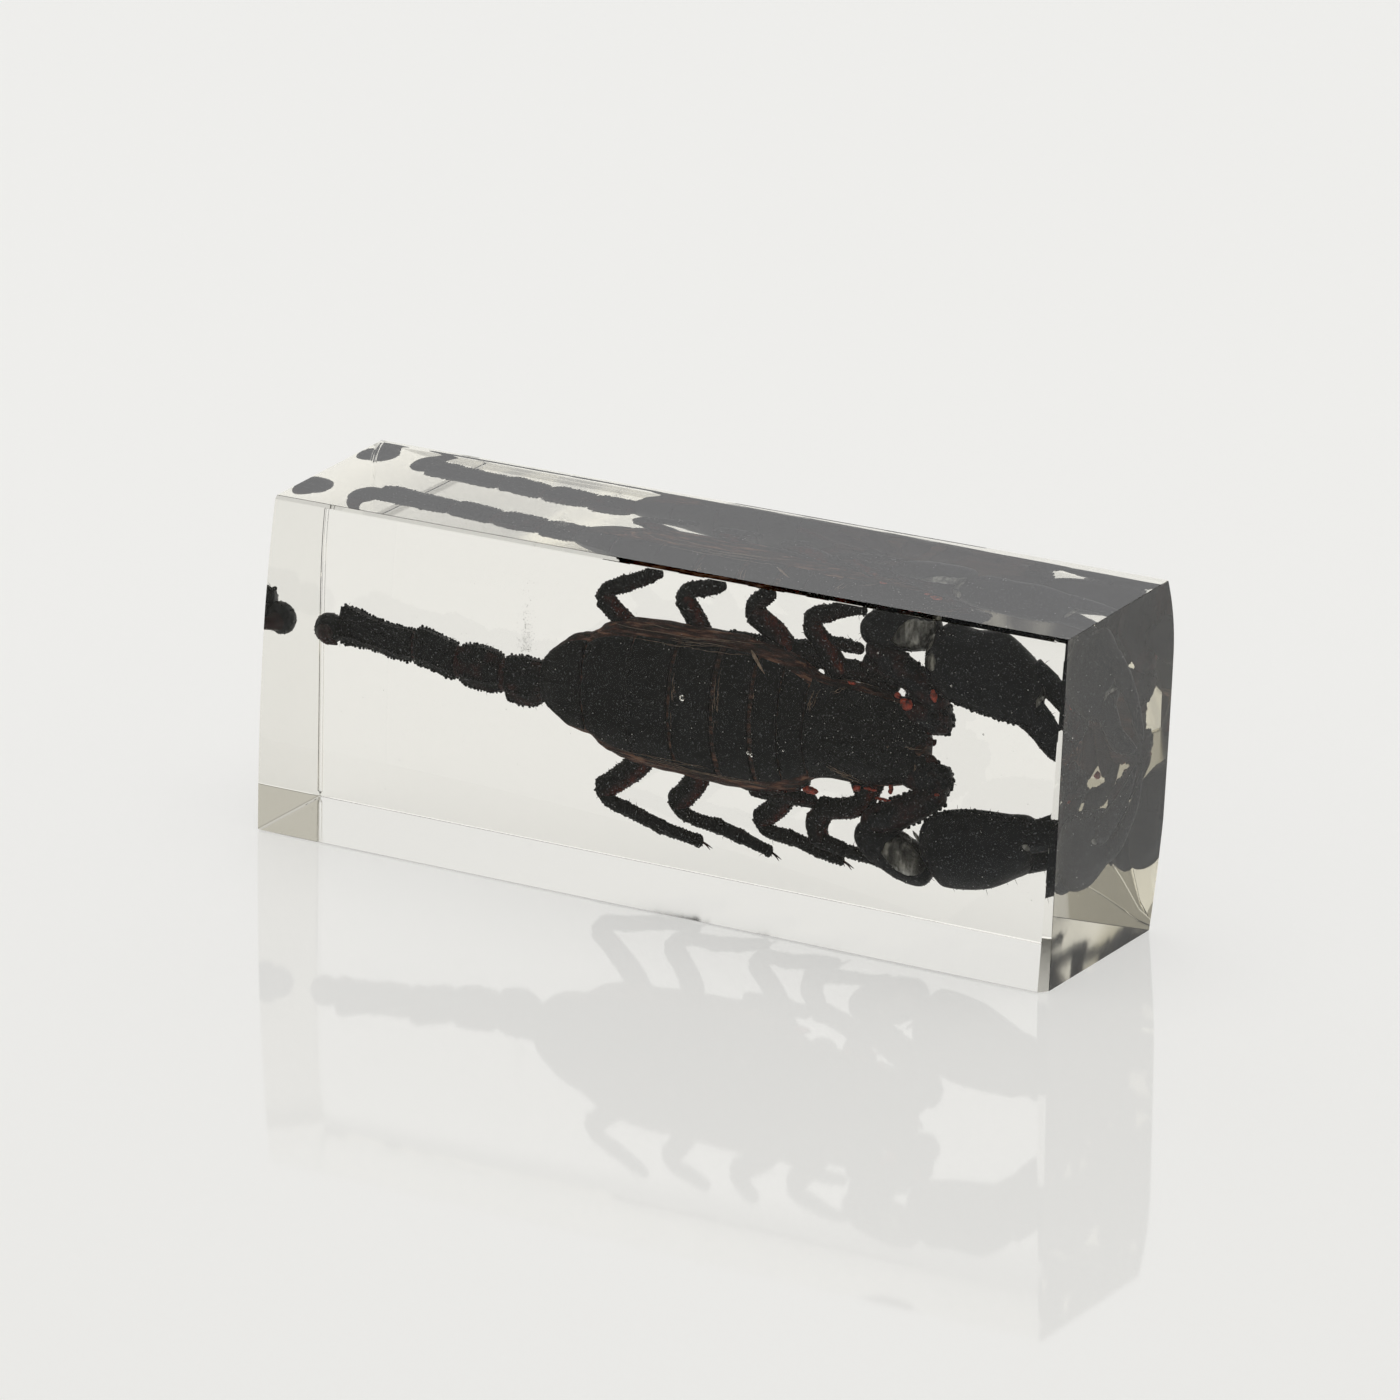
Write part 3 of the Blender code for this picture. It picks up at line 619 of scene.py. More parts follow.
def pale_thread(name, colour):
    """A pale dry finish, darker in places."""
    faint = tuple(channel * 0.45 for channel in colour)
    return cloudy_material(name, 1800.0, 3.0, ((0.38, faint), (0.62, colour)), 0.4)[0]


def painted_shade_edge():
    """A near-black finish on two worn edges: painted shade standing in for the dark lines along them, grey in
    places.
    """
    stops = ((0.40, (0.015, 0.015, 0.015)), (0.62, (0.16, 0.16, 0.15)))
    material, _, shader = cloudy_material("painted_shade_edge", 260.0, 4.0, stops, 0.3, (0.35, 1.0, 1.0))
    shader.inputs["Specular IOR Level"].default_value = 0.2
    return material


# ---- the block

# the third finish is painted shade: dark lines along the top front edge and the base's front edge
POLISHED, RUBBED, PAINTED_SHADE = 0, 1, 2      # the block's finishes


def block_points(along, through, up):
    """The block's skin: three shares from 0 to 1, from the left foot, the front and the base."""
    z = HEIGHT * up
    top_reach = TOP_REACH_LEFT + (TOP_REACH_RIGHT - TOP_REACH_LEFT) * along ** 2
    from_top = np.maximum(0.0, 1 - (HEIGHT - z) / top_reach) ** ROUNDING_POWER
    from_base = np.maximum(0.0, 1 - z / BASE_REACH) ** TAPER_POWER
    full = THICKNESS_LEFT + (THICKNESS - THICKNESS_LEFT) * along ** 2
    depth = through * (full - (full - TOP_THICKNESS) * from_top - BASE_TAPER * along ** 2 * from_base)
    lean = LEFT_LEAN_FRONT + (LEFT_LEAN_BACK - LEFT_LEAN_FRONT) * through
    bow = LEFT_BOW + (LEFT_BOW_BACK - LEFT_BOW) * through
    left = FOOT_LEFT + FOOT_LEFT_TURN * through + lean * up ** bow
    right = FOOT_RIGHT + RIGHT_LEAN * up + RIGHT_TURN * through * (1 - up ** 4)
    x = left + (right - left) * along
    z = z + up * (TOP_SLOPE_X * x + TOP_SLOPE_Y * (depth - TOP_THICKNESS / 2))
    return np.stack((x, depth, z), axis=-1)


def cut_corner(bm, point, normal, finish):
    """Take off the corner that lies beyond a plane, and close the cut with one of the block's finishes."""
    geometry = bm.verts[:] + bm.edges[:] + bm.faces[:]
    cut = bmesh.ops.bisect_plane(bm, geom=geometry, plane_co=point, plane_no=normal, clear_outer=True)
    rim = [item for item in cut["geom_cut"] if isinstance(item, bmesh.types.BMEdge)]
    bmesh.ops.contextual_create(bm, geom=rim, mat_nr=finish)


def spot(x, depth, z):
    """One place given in millimetres, as a point of the scene."""
    return Vector(place((x, depth, z)).tolist())


def facet_plane():
    """The narrow facet down the right front edge, wider towards the foot."""
    turn = math.radians(FACET_TURN)
    foot = spot(FOOT_RIGHT - FACET_FOOT * math.cos(turn), 0, 0)
    foot_back = spot(FOOT_RIGHT, FACET_FOOT * math.sin(turn), 0)
    top = spot(FOOT_RIGHT + RIGHT_LEAN - FACET_TOP * math.cos(turn), 0, HEIGHT)
    normal = (foot_back - foot).cross(top - foot).normalized()
    return foot, normal if normal.x > 0 else -normal


def top_edge_plane():
    """The worn front edge of the top."""
    corner, far_corner = (block_points(along, 0.0, 1.0) for along in (0.0, 1.0))
    left = spot(*(corner - (0, 0, TOP_WEAR)))
    right = spot(*(far_corner - (0, 0, TOP_WEAR)))
    behind = spot(*(corner + (0, TOP_WEAR, 0)))
    normal = (right - left).cross(behind - left).normalized()
    return left, normal if normal.z > 0 else -normal


def wear(bm, width, segments, finish, belongs):
    """Round off the sharp edges whose two ends both belong, in one of the block's finishes."""
    edges = [edge for edge in bm.edges if edge.calc_face_angle(0) > math.radians(25)
             and all(belongs(*(vert.co / MM)) for vert in edge.verts)]
    bmesh.ops.bevel(bm, geom=edges, offset=width, segments=segments, affect="EDGES", clamp_overlap=True,
                    material=finish)


def block_mesh(edge_wear):
    """The outer skin of the block with its worn edges."""
    bm = bmesh.new()
    bmesh.ops.create_cube(bm, size=1.0)
    rows = [0.5 - 0.5 * math.cos(math.pi * (cut / 80) ** 1.15) for cut in range(9, 76)]
    columns = [(cut / 28) ** 1.3 for cut in range(1, 28)]
    for axis, cuts in ((0, columns), (2, rows)):
        normal = Vector([1.0 if index == axis else 0.0 for index in range(3)])
        for cut in cuts:
            geometry = bm.verts[:] + bm.edges[:] + bm.faces[:]
            bmesh.ops.bisect_plane(bm, geom=geometry, dist=1e-7, plane_co=normal * (cut - 0.5),
                                   plane_no=normal)
    for vert in bm.verts:
        shares = np.clip(np.array(vert.co) + 0.5, 0, 1)
        vert.co = place(block_points(*shares)).tolist()
    bmesh.ops.dissolve_limit(bm, angle_limit=math.radians(0.01), verts=bm.verts[:], edges=bm.edges[:])
    cut_corner(bm, *facet_plane(), POLISHED)
    # the worn top front edge is closed in painted shade
    cut_corner(bm, *top_edge_plane(), PAINTED_SHADE)
    front = 0.01 - THICKNESS / 2
    wear(bm, CORNER_WEAR * MM, 2, POLISHED, lambda x, y, z: x < -50 and y > 10 and 0.5 < z < HEIGHT - 0.5)
    wear(bm, FOOT_WEAR * MM, 1, POLISHED, lambda x, y, z: x < -55 and z < 0.01)
    # the worn front edge of the base is painted shade, a thin dark line
    wear(bm, FRONT_WEAR * MM, 1, PAINTED_SHADE, lambda x, y, z: y < front and z < 0.01)
    wear(bm, edge_wear, 1, POLISHED, lambda x, y, z: True)
    bmesh.ops.recalc_face_normals(bm, faces=bm.faces)
    return bm


def add_bubble(bm, x, depth, z, radius):
    """A round hollow: its faces look into it, as the skin of the resin does."""
    made = bmesh.ops.create_uvsphere(bm, u_segments=20, v_segments=12, radius=radius * MM,
                                     matrix=Matrix.Translation(spot(x, depth, z)))
    faces = {face for vert in made["verts"] for face in vert.link_faces}
    bmesh.ops.reverse_faces(bm, faces=list(faces))


def make_block(settings):
    """The clear block with its bubbles and its three finishes, the third of them painted shade."""
    bm = block_mesh(settings.edge_wear)
    for bubble in BUBBLES:
        add_bubble(bm, *bubble)
    mesh = bpy.data.meshes.new("clear_block")
    bm.to_mesh(mesh)
    bm.free()
    mesh.shade_smooth()
    mesh.set_sharp_from_angle(angle=math.radians(9))
    mesh.materials.append(clear_resin("clear_resin", settings, 0.0))
    mesh.materials.append(clear_resin("rubbed_resin", settings, 0.10))
    mesh.materials.append(painted_shade_edge())
    for face in mesh.polygons:
        if face.normal.z < -0.99 and face.center.z < 0.01 * MM:
            face.material_index = RUBBED
    piece = bpy.data.objects.new("clear_block", mesh)
    bpy.context.scene.collection.objects.link(piece)
    return ride(piece, "clear_resin", "resin_front", "resin_back")


# ---- the body

BODY_CURVE = smooth(BODY, 400)


def body_at(x):
    """Middle, half width, back and belly of the body at each x."""
    return [np.interp(x, BODY_CURVE[:, 0], BODY_CURVE[:, column]) for column in range(1, 5)]


def on_body(x, angle, lift):
    """A point of the body's skin: the back is at -90 degrees, the belly at 90; lift is in millimetres."""
    middle, half, back, belly = body_at(x)
    cosine, sine = np.cos(angle), np.sin(angle)
    reach = np.where(sine >= 0, belly - WAIST, WAIST - back)
    depth = WAIST + (reach + lift) * sine
    return np.stack(np.broadcast_arrays(x, depth, middle + (half + lift) * cosine), axis=-1)


def on_back(x, z, lift):
    """The point of the back that lies at the given x and z, seen from the front."""
    middle, half, back, _ = body_at(x)
    cosine = np.clip((z - middle) / half, -0.98, 0.98)
    return on_body(x, -np.arccos(cosine), lift)


def make_skin(settings):
    """The soft body between the plates, folded and fibrous along its sides."""
    shape = Shape()
    rear_end, front_end = BODY[0][0], BODY[-1][0]
    x = np.linspace(rear_end, front_end, 300)[:, None]
    angle = np.linspace(-math.pi, math.pi, 160, endpoint=False)[None, :]
    flat = on_body(x, angle, 0.0)
    flank = np.exp(-(((np.abs(np.cos(angle)) - 0.95) / 0.28) ** 2)) + 0 * x
    strands = blotches(flat * np.array((0.25, 1.0, 1.6)), 0.55, 3)
    folds = blotches(flat * np.array((0.35, 1.0, 1.3)), 1.3, 4)
    lift = -0.30 + flank * (0.20 * folds + 0.12 * strands)
    ends = end_rounding(x - rear_end, front_end - x, 0.6, 0.6)
    grid = on_body(x, angle, lift * ends)
    rear = np.clip((x + 20.0) / 5.0, 0, 1)
    shape.grid(grid, np.clip((0.55 + 0.45 * flank) * rear + 0 * angle, 0, 1))
    return ride(shape.build("soft_skin", skin_material(settings)), "scorpion_shell", "scorpion")


def plate(shape, rear, front, low, high, rise, bow, relief=None, front_edge=None, rows=50, columns=120):
    """A horny plate over the body from rear to front x and from the low to the high angle."""
    u = np.linspace(0, 1, rows)[:, None]
    v = np.linspace(0, 1, columns)[None, :]
    angle = low + (high - low) * v
    arch = 1 - (2 * v - 1) ** 2
    start = rear - bow * arch
    stop = front - bow * arch * 0.6
    if front_edge is not None:
        stop = stop + front_edge(v)
    start = start + 0.12 * blotches(np.stack(np.broadcast_arrays(rear, 0.0, 18 * v), axis=-1), 0.9, 71)
    x = start + (stop - start) * u
    edge = np.minimum(np.minimum(u, 1 - u) * (front - rear), np.minimum(v, 1 - v) * 14.0)
    rounding = np.sqrt(np.clip(1 - (1 - np.clip(edge / 0.35, 0, 1)) ** 2, 0, 1))
    lift = 0.05 + rise * (1 - u) ** 2.2
    outer_lift = (lift + 0.12) * rounding - 0.10
    if relief is not None:
        outer_lift = outer_lift + relief(x, angle, u, v) * rounding
    outer = on_body(x, angle + 0 * x, outer_lift)
    inner = on_body(x, angle + 0 * x, np.minimum(outer_lift - 0.05, -0.28))
    shape.sheet(outer, inner)
    return outer


def make_back_plates(settings):
    """The plates of the back, each lying over the one behind it, with granules on their rear edges."""
    shape = Shape()
    chance = random.Random(11)
    for index, (rear, front, bare, reach) in enumerate(BACK_PLATES):
        half_turn = math.radians(reach)

        def relief(x, angle, u, v):
            points = on_body(x, angle + 0 * x, 0.0)
            keel = np.exp(-(((v - 0.5) * 26) ** 2)) * 0.10
            return keel + 0.03 * blotches(points, 1.3, 20 + index)

        outer = plate(shape, rear, front, -math.pi / 2 - half_turn, -math.pi / 2 + half_turn,
                      0.16 if bare else 0.02, 0.9 if bare > 0.3 else 0.3, relief)
        rim = outer[2:9].reshape(-1, 3)
        chosen = [rim[chance.randrange(len(rim))] for _ in range(150)]
        rough_grains(shape, chance, chosen, 0.05, 0.10)
    return finish_horn(shape, "back_plates", "black_plates", settings, 0.10)


def make_head_shield(settings):
    """The shield over the head, with its middle furrow, eye mound, eyes and notched front edge."""
    shape = Shape()
    chance = random.Random(12)

    def relief(x, angle, u, v):
        points = on_body(x, angle + 0 * x, 0.0)
        furrow = -0.30 * np.exp(-(((v - 0.5) * 30) ** 2)) * np.clip(u * 4, 0, 1)
        away = np.hypot(points[..., 0] - EYE_MOUND, points[..., 2] - MIDLINE)
        mound = 0.55 * np.exp(-((away / 1.1) ** 2))
        side = -0.18 * np.exp(-(((u - 0.28) * 9) ** 2)) * np.abs(2 * v - 1)
        return furrow + mound + side + 0.04 * blotches(points, 1.2, 60)

    def notch(v):
        return -1.0 * np.exp(-(((v - 0.5) * 9) ** 2)) - 0.9 * (2 * v - 1) ** 4

    outer = plate(shape, SHIELD_REAR, SHIELD_FRONT, math.radians(-152), math.radians(-28), 0.10, 0.35,
                  relief, notch, rows=120, columns=160)
    for side in (-1, 1):
        centre = on_back(EYE_MOUND, MIDLINE + side * 0.62, 0.55)
        shape.grid(ball(centre, (0.24, 0.24, 0.24), 8, 14))
        for offset in (0.0, 0.75, 1.4):
            centre = on_back(30.3 - offset, 23.3 + side * (4.0 + offset * 0.35), 0.10)
            shape.grid(ball(centre, (0.17, 0.17, 0.17), 6, 10))
    surface = outer.reshape(-1, 3)
    chosen = [surface[chance.randrange(len(surface))] for _ in range(1500)]
    weights = [0.5 + abs(point[2] - MIDLINE) / 9 + max(0.0, point[0] - 26) / 8 for point in chosen]
    kept = [point for point, weight in zip(chosen, weights) if chance.random() < weight * 0.7]
    rough_grains(shape, chance, kept, 0.05, 0.12)
    return finish_horn(shape, "head_shield", "black_shield", settings, 0.12)


def make_jaws(settings):
    """The two small pincer jaws in front of the head."""
    shape = Shape()
    for side in (-1, 1):
        z = 23.3 + side * 1.75
        base = ((28.4, 19.6, z + side * 0.3, 1.5, 1.9), (30.6, 19.3, z, 1.55, 2.0),
                (32.2, 19.2, z - side * 0.1, 1.3, 1.6))
        shape.grid(limb(base, 24, 28, 0.7))
        for offset, length in ((0.55, 33.4), (-0.55, 33.1)):
            finger = ((31.6, 19.0, z + offset, 0.62, 0.7), (32.6, 18.9, z + offset * 1.3, 0.5, 0.55),
                      (length, 19.0, z + offset * 0.5, 0.12, 0.14))
            shape.grid(limb(finger, 18, 16, 0.4), 0.35)
    return finish_horn(shape, "jaws", "jaw_horn", settings, 0.2)


def make_belly(settings):
    """The belly: plates, breathing slits, breastbone, leg bases and the two comb organs."""
    shape = Shape()
    for rear, front in ((-21.2, -15.2), (-15.0, -9.0), (-8.8, -3.0), (-2.8, 2.4), (2.6, 7.6)):

        def relief(x, angle, u, v):
            slit = sum(np.exp(-(((v - centre) * 22) ** 2 + ((u - 0.55) * 12) ** 2))
                       for centre in (0.25, 0.75))
            return -0.16 * slit + 0.03 * blotches(on_body(x, angle + 0 * x, 0.0), 0.9, 80)

        plate(shape, rear, front, math.radians(32), math.radians(148), 0.12, 0.3, relief, rows=40, columns=90)
    for side in (-1, 1):
        for foot, start, width in ((24.4, 21.0, 1.7), (18.5, 17.5, 1.8), (11.8, 15.0, 1.9), (4.4, 12.6, 1.9)):
            rows = ((start, 22.9, MIDLINE + side * 0.9, width * 0.55, 0.7),
                    ((start + foot) / 2, 22.9, MIDLINE + side * 3.6, width * 0.9, 1.2),
                    (foot, 21.9, MIDLINE + side * 6.6, width * 0.95, 1.5))
            shape.grid(limb(rows, 30, 30, 0.8), 0.15)
        comb = ((10.2, 23.4, MIDLINE + side * 0.6, 0.5, 0.4), (6.5, 23.5, MIDLINE + side * 3.2, 0.55, 0.4),
                (2.6, 23.1, MIDLINE + side * 6.0, 0.25, 0.25))
        spine = limb(comb, 40, 14, 0.4)
        shape.grid(spine, 0.4)
        for index in range(2, 38, 3):
            root = spine[index].mean(axis=0)
            tooth = ((*root, 0.2, 0.16), (root[0] - 0.9, root[1] + 0.1, root[2] - side * 0.5, 0.16, 0.13),
                     (root[0] - 1.5, root[1] + 0.1, root[2] - side * 0.9, 0.07, 0.07))
            shape.grid(limb(tooth, 8, 8, 0.15), 0.5)
    breast = ((11.6, 23.2, MIDLINE, 0.9, 0.5), (13.2, 23.4, MIDLINE, 1.2, 0.5),
              (14.8, 23.3, MIDLINE, 0.7, 0.4))
    shape.grid(limb(breast, 20, 24, 0.6))
    return finish_horn(shape, "belly_plates", "belly_horn", settings, 0.12)


# ---- the tail

KEELS = [math.radians(turn) for turn in (22, 58, 122, 158, 205, 245, 295, 335)]


def make_tail(settings):
    """The tail's barrel-shaped segments with their rows of granules."""
    shape = Shape()
    chance = random.Random(21)
    for index, (first, fullest, last) in enumerate(TAIL):
        rows = []
        for (x, z, half_width), depth_share in ((first, 0.80), (fullest, 1.0), (last, 0.84)):
            rows.append((x, TAIL_DEPTH, z, half_width, TAIL_HALF_DEPTH * depth_share))
        long_one = index == 3
        rows.insert(1, (first[0] + 0.7, TAIL_DEPTH, first[1], first[2] + 0.28, TAIL_HALF_DEPTH * 0.95))
        rows.insert(-1, (last[0] - 0.9, TAIL_DEPTH, last[1], last[2] + 0.22, TAIL_HALF_DEPTH * 0.92))

        def relief(share, angle, grid):
            keel = sum(np.exp(-((np.angle(np.exp(1j * (angle - turn))) * 7.5) ** 2)) for turn in KEELS)
            teeth = 0.5 + 0.5 * np.sin(share * math.pi * (44 if long_one else 26))
            rough = 0.08 * blotches(grid * np.array((0.4, 1.0, 1.3)), 0.6, 90 + index)
            return keel * (0.12 + 0.10 * teeth) - 0.10 + rough

        grid = limb(rows, 120 if long_one else 80, 88, 0.3 if long_one else 0.6, relief)
        red = 0.40 * np.clip(0.2 + blotches(grid, 1.6, 97), 0, 1) if index < 2 else 0.0
        shape.grid(grid, red)
        rings, sides = grid.shape[:2]
        marks = []
        for turn in KEELS:
            side = int(round(turn / (2 * math.pi) * sides)) % sides
            for ring in np.linspace(5, rings - 6, 26 if long_one else 15).astype(int):
                jitter = np.array([chance.uniform(-0.08, 0.08) for _ in range(3)])
                marks.append((grid[ring, side] + jitter, chance.uniform(0.13, 0.27)))
        marks += strewn(chance, grid, 260, 4, rings - 4, 0.05, 0.11)
        grains(shape, *zip(*marks))
    joints = ((-21.3, 22.2, 2.1), (-27.35, 21.9, 2.15), (-33.8, 22.45, 2.0), (-40.2, 23.4, 1.8))
    for x, z, radius in joints:
        shape.grid(ball((x, TAIL_DEPTH, z), (1.3, radius * 0.9, radius), 14, 26), 0.3)
    return finish_horn(shape, "tail", "tail_horn", settings, 0.16)


def make_sting(settings):
    """The venom bulb and the curved sting."""
    shape = Shape()
    chance = random.Random(22)
    bulb = ball(BULB, BULB_RADII, 30, 44)
    outward = unit(bulb - np.array(BULB))
    bulb = bulb + outward * (0.06 * blotches(bulb, 0.7, 101))[..., None]
    shape.grid(bulb)
    shape.grid(limb([(x, depth, z, radius, radius) for x, depth, z, radius in STING], 40, 22, 0.2), 0.25)
    places = [bulb[chance.randrange(2, 28), chance.randrange(44)] for _ in range(110)]
    rough_grains(shape, chance, places, 0.07, 0.13)
    return finish_horn(shape, "sting", "sting_horn", settings, 0.2)


# ---- legs

def hook(shape, root, along, turn, length, radius):
    """A small curved claw at the end of a foot."""
    root, along, turn = np.array(root), unit(np.array(along)), unit(np.array(turn))
    rows = []
    for share, width in ((0.0, 1.0), (0.4, 0.8), (0.75, 0.5), (1.0, 0.2)):
        point = root + along * length * share + turn * length * 0.75 * share**2
        rows.append((*point, radius * width, radius * width))
    shape.grid(limb(rows, 12, 8, 0.08), 0.5)


def lengthened(rows, start, end):
    """The rows of a limb with its two ends moved out."""
    rows = np.array(rows, float)
    first = unit(rows[0, :3] - rows[1, :3]) * start
    last = unit(rows[-1, :3] - rows[-2, :3]) * end
    rows[0, :3] += first
    rows[-1, :3] += last
    return rows


def make_legs(settings, height, name):
    """Four legs of one side, each made of its own segments."""
    shape = Shape()
    chance = random.Random(31 if height == "low" else 32)
    for leg, points in LEGS.items():
        if not leg.startswith(height):
            continue
        points = np.array(points)
        for index, run in enumerate((points[:3], points[2:5], points[4:6], points[5:])):
            rows = [(x, depth, z, radius, radius * 0.86) for x, depth, z, radius in run]
            middle = np.mean(rows[:2], axis=0)
            middle[3:] *= 1.04
            rows.insert(1, tuple(middle))
            rows = lengthened(rows, run[0, 3] * (0.3, 0.55, 0.7, 0.7)[index], run[-1, 3] * 0.5)
            length = sum(np.linalg.norm(np.diff(rows[:, :3], axis=0), axis=1))

            def relief(share, angle, grid):
                ends = (0.12 * np.exp(-(((share - 0.93) * 11) ** 2))
                        - 0.04 * np.exp(-(((share - 0.45) * 4) ** 2)))
                edge = np.abs(np.cos(angle)) ** 12 * (0.05 + 0.10 * np.maximum(0, blotches(grid, 0.35, 131)))
                rough = 0.07 * blotches(grid, 0.7, 120 + index) + 0.045 * blotches(grid, 0.28, 130)
                return ends + edge + rough

            grid = limb(rows, max(24, int(length * 8)), 44, 0.45, relief)
            centre = grid.mean(axis=1, keepdims=True)
            right = (grid[..., 0] - centre[..., 0]) / run[0, 3]
            front = centre[..., 1] - grid[..., 1] > -0.2
            # the red tint of the streaks and rims reaches into the shell's painted glow of light through thin
            # shell
            streak = np.exp(-(((right - 0.45) / 0.30) ** 2)) * front * (0.95 if index == 0 else 0.30)
            rim = np.clip(np.abs(right) * 4 - 3.1, 0, 1) * (0.95 if index < 2 else 0.5)
            red = np.maximum(streak * (0.8 + 0.5 * blotches(grid, 0.9, 140)),
                             rim * (0.7 + 0.5 * blotches(grid, 1.5, 141)))
            shape.grid(grid, np.clip(red, 0, 0.85 if index < 2 else 0.6))
            rings, sides = grid.shape[:2]
            count = int(length * 16)
            places = [grid[chance.randrange(3, rings - 3), chance.randrange(sides)] for _ in range(count)]
            rough_grains(shape, chance, places, 0.05, 0.11)
            rims = [grid[ring, side] for side in (0, sides // 2) for ring in range(3, rings - 3, 4)]
            rough_grains(shape, chance, rims, 0.06, 0.17)
        if height == "high":
            continue
        tip, before = points[-1, :3], points[-2, :3]
        along = unit(tip - before)
        for spread in (-1, 1):
            turn = np.array((0.25, spread * 0.5, -0.5))
            hook(shape, tip + along * 0.1, along, turn, 1.15, 0.17)
        hook(shape, tip - along * 0.1, along + np.array((0, 0, -0.6)), (0, 0, -1), 0.5, 0.12)
    for index, rows in enumerate(LEG_BASES[height]):

        def base_relief(share, angle, grid):
            return 0.10 * blotches(grid, 0.8, 260 + index) + 0.05 * blotches(grid, 0.3, 270 + index)

        grid = limb(rows, 60, 40, 0.7, base_relief)
        middle = grid.mean(axis=1, keepdims=True)
        # the stripe's red tint reaches into the shell's painted glow of light through thin shell
        stripe = np.exp(-((((grid - middle)[..., 2] + 0.1) / 0.35) ** 2)) * (0.2 + 0.8 * (index == 2))
        shape.grid(grid, np.clip(stripe * (0.7 + 0.6 * blotches(grid, 1.2, 280)), 0, 0.9))
        places = [grid[chance.randrange(3, 57), chance.randrange(40)] for _ in range(120)]
        rough_grains(shape, chance, places, 0.07, 0.20)
    return finish_horn(shape, name, name + "_horn", settings, 0.22)


# ---- claws

def arm_grid(piece, points, seed):
    """The rings of a finger or arm segment, toothed along the edges of the two inner segments."""
    toothed = piece.endswith(("femur", "trochanter"))

    def relief(share, angle, grid):
        rough = 0.07 * blotches(grid, 0.8, seed) + 0.04 * blotches(grid, 0.35, seed + 1)
        edge = np.abs(np.cos(angle)) ** 8
        if toothed:
            rough = rough + edge * 0.16 * np.maximum(0, blotches(grid, 0.45, seed + 2))
        return rough + edge * 0.05

    steps = 90 if not piece.endswith("finger") else 70
    return limb(points, steps, 64, 1.2 if not piece.endswith("finger") else 0.5, relief)


def make_claw(settings, height, name):
    """One arm: its segments, the swollen hand and the two fingers."""
    shape = Shape()
    chance = random.Random(41 if height == "low" else 42)
    seed = 150 if height == "low" else 170
    hand_rows = LOW_HAND if height == "low" else HIGH_HAND

    def hand_relief(share, angle, grid):
        ridges = 0.04 * blotches(grid * np.array((0.2, 1.0, 1.5)), 0.9, seed + 4)
        inner_edge = np.clip(np.cos(angle), 0, 1) ** 14
        teeth = np.maximum(0, blotches(grid, 0.5, seed + 5))
        return ridges + inner_edge * 0.16 * teeth

    hand = paddle(hand_rows, 150, 110, hand_relief)
    shape.grid(hand)
    marks = []
    for ring in range(14, 140, 5):
        for _ in range(2):
            side = chance.choice((-3, -2, -1, 0, 1, 2, 3)) % hand.shape[1]
            marks.append((hand[ring, side], chance.uniform(0.12, 0.30)))
    marks += strewn(chance, hand, 420, 4, 146, 0.04, 0.09)
    for index, (piece, points) in enumerate(ARMS.items()):
        if not piece.startswith(height):
            continue
        grid = arm_grid(piece, points, seed + 10 + index)
        centre = grid.mean(axis=1, keepdims=True)
        red = np.zeros(grid.shape[:2])
        if piece.endswith(("femur", "trochanter")):
            red = 0.55 * np.clip(0.3 + blotches(grid, 1.5, seed + 40), 0, 1)
            red = red * np.clip(1 - np.abs(grid[..., 2] - centre[..., 2]) / 3, 0, 1)
        shape.grid(grid, red)
        rings, sides = grid.shape[:2]
        if piece.endswith("finger"):
            for ring in range(10, rings - 6, 3):
                side = 0 if (height == "low") == ("movable" in piece) else sides // 2
                marks.append((grid[ring, side], chance.uniform(0.10, 0.17)))
        if piece.endswith(("femur", "trochanter")):
            for ring in range(6, rings - 6, 6):
                for edge in (0, sides // 2):
                    side = (edge + chance.choice((-2, -1, 0, 1, 2))) % sides
                    marks.append((grid[ring, side], chance.uniform(0.18, 0.42)))
        if piece.endswith("trochanter"):
            marks += strewn(chance, grid, 46, rings - 22, rings - 1, 0.18, 0.42)
        marks += strewn(chance, grid, 220, 4, rings - 4, 0.05, 0.12)
    grains(shape, *zip(*marks))
    return finish_horn(shape, name, name + "_horn", settings, 0.13, shade=CLAW_SHADE)


# ---- the red joint skins, silver films, dust and threads

RED_SKINS = (
    ((29.4, 17.2, 28.8), (0.85, 0.5, 0.65)), ((33.1, 17.2, 30.5), (0.5, 0.4, 0.85)),
    ((28.1, 17.4, 29.7), (0.35, 0.4, 0.35)), ((21.6, 18.2, 30.0), (0.6, 0.4, 0.25)),
    ((30.2, 18.2, 18.9), (0.85, 0.5, 0.35)), ((27.3, 18.6, 17.6), (0.35, 0.5, 0.60)),
    ((22.6, 18.8, 16.7), (0.50, 0.5, 0.45)), ((26.4, 18.4, 16.1), (1.1, 0.4, 0.22)),
    ((16.3, 19.0, 15.3), (1.15, 0.5, 0.45)), ((33.7, 17.6, 18.2), (0.4, 0.4, 0.25)),
    ((8.6, 20.4, 32.2), (2.2, 0.6, 0.42)), ((11.8, 20.2, 31.8), (0.6, 0.5, 0.40)),
    ((10.0, 20.8, 14.2), (2.7, 0.6, 0.42)), ((24.6, 18.4, 17.1), (0.9, 0.4, 0.20)),
)


def make_red_skins():
    """The red joint skins that show between the legs, the arms and the body."""
    shape = Shape()
    for index, (centre, radii) in enumerate(RED_SKINS):
        grid = ball(centre, radii, 24, 40)
        outward = unit(grid - np.array(centre))
        ragged = 0.20 * blotches(grid, 0.6, 200 + index) + 0.10 * blotches(grid, 0.25, 230 + index)
        shape.grid(grid + outward * ragged[..., None], 1.0)
    return ride(shape.build("red_joint_skins", red_membrane()), "scorpion_shell")


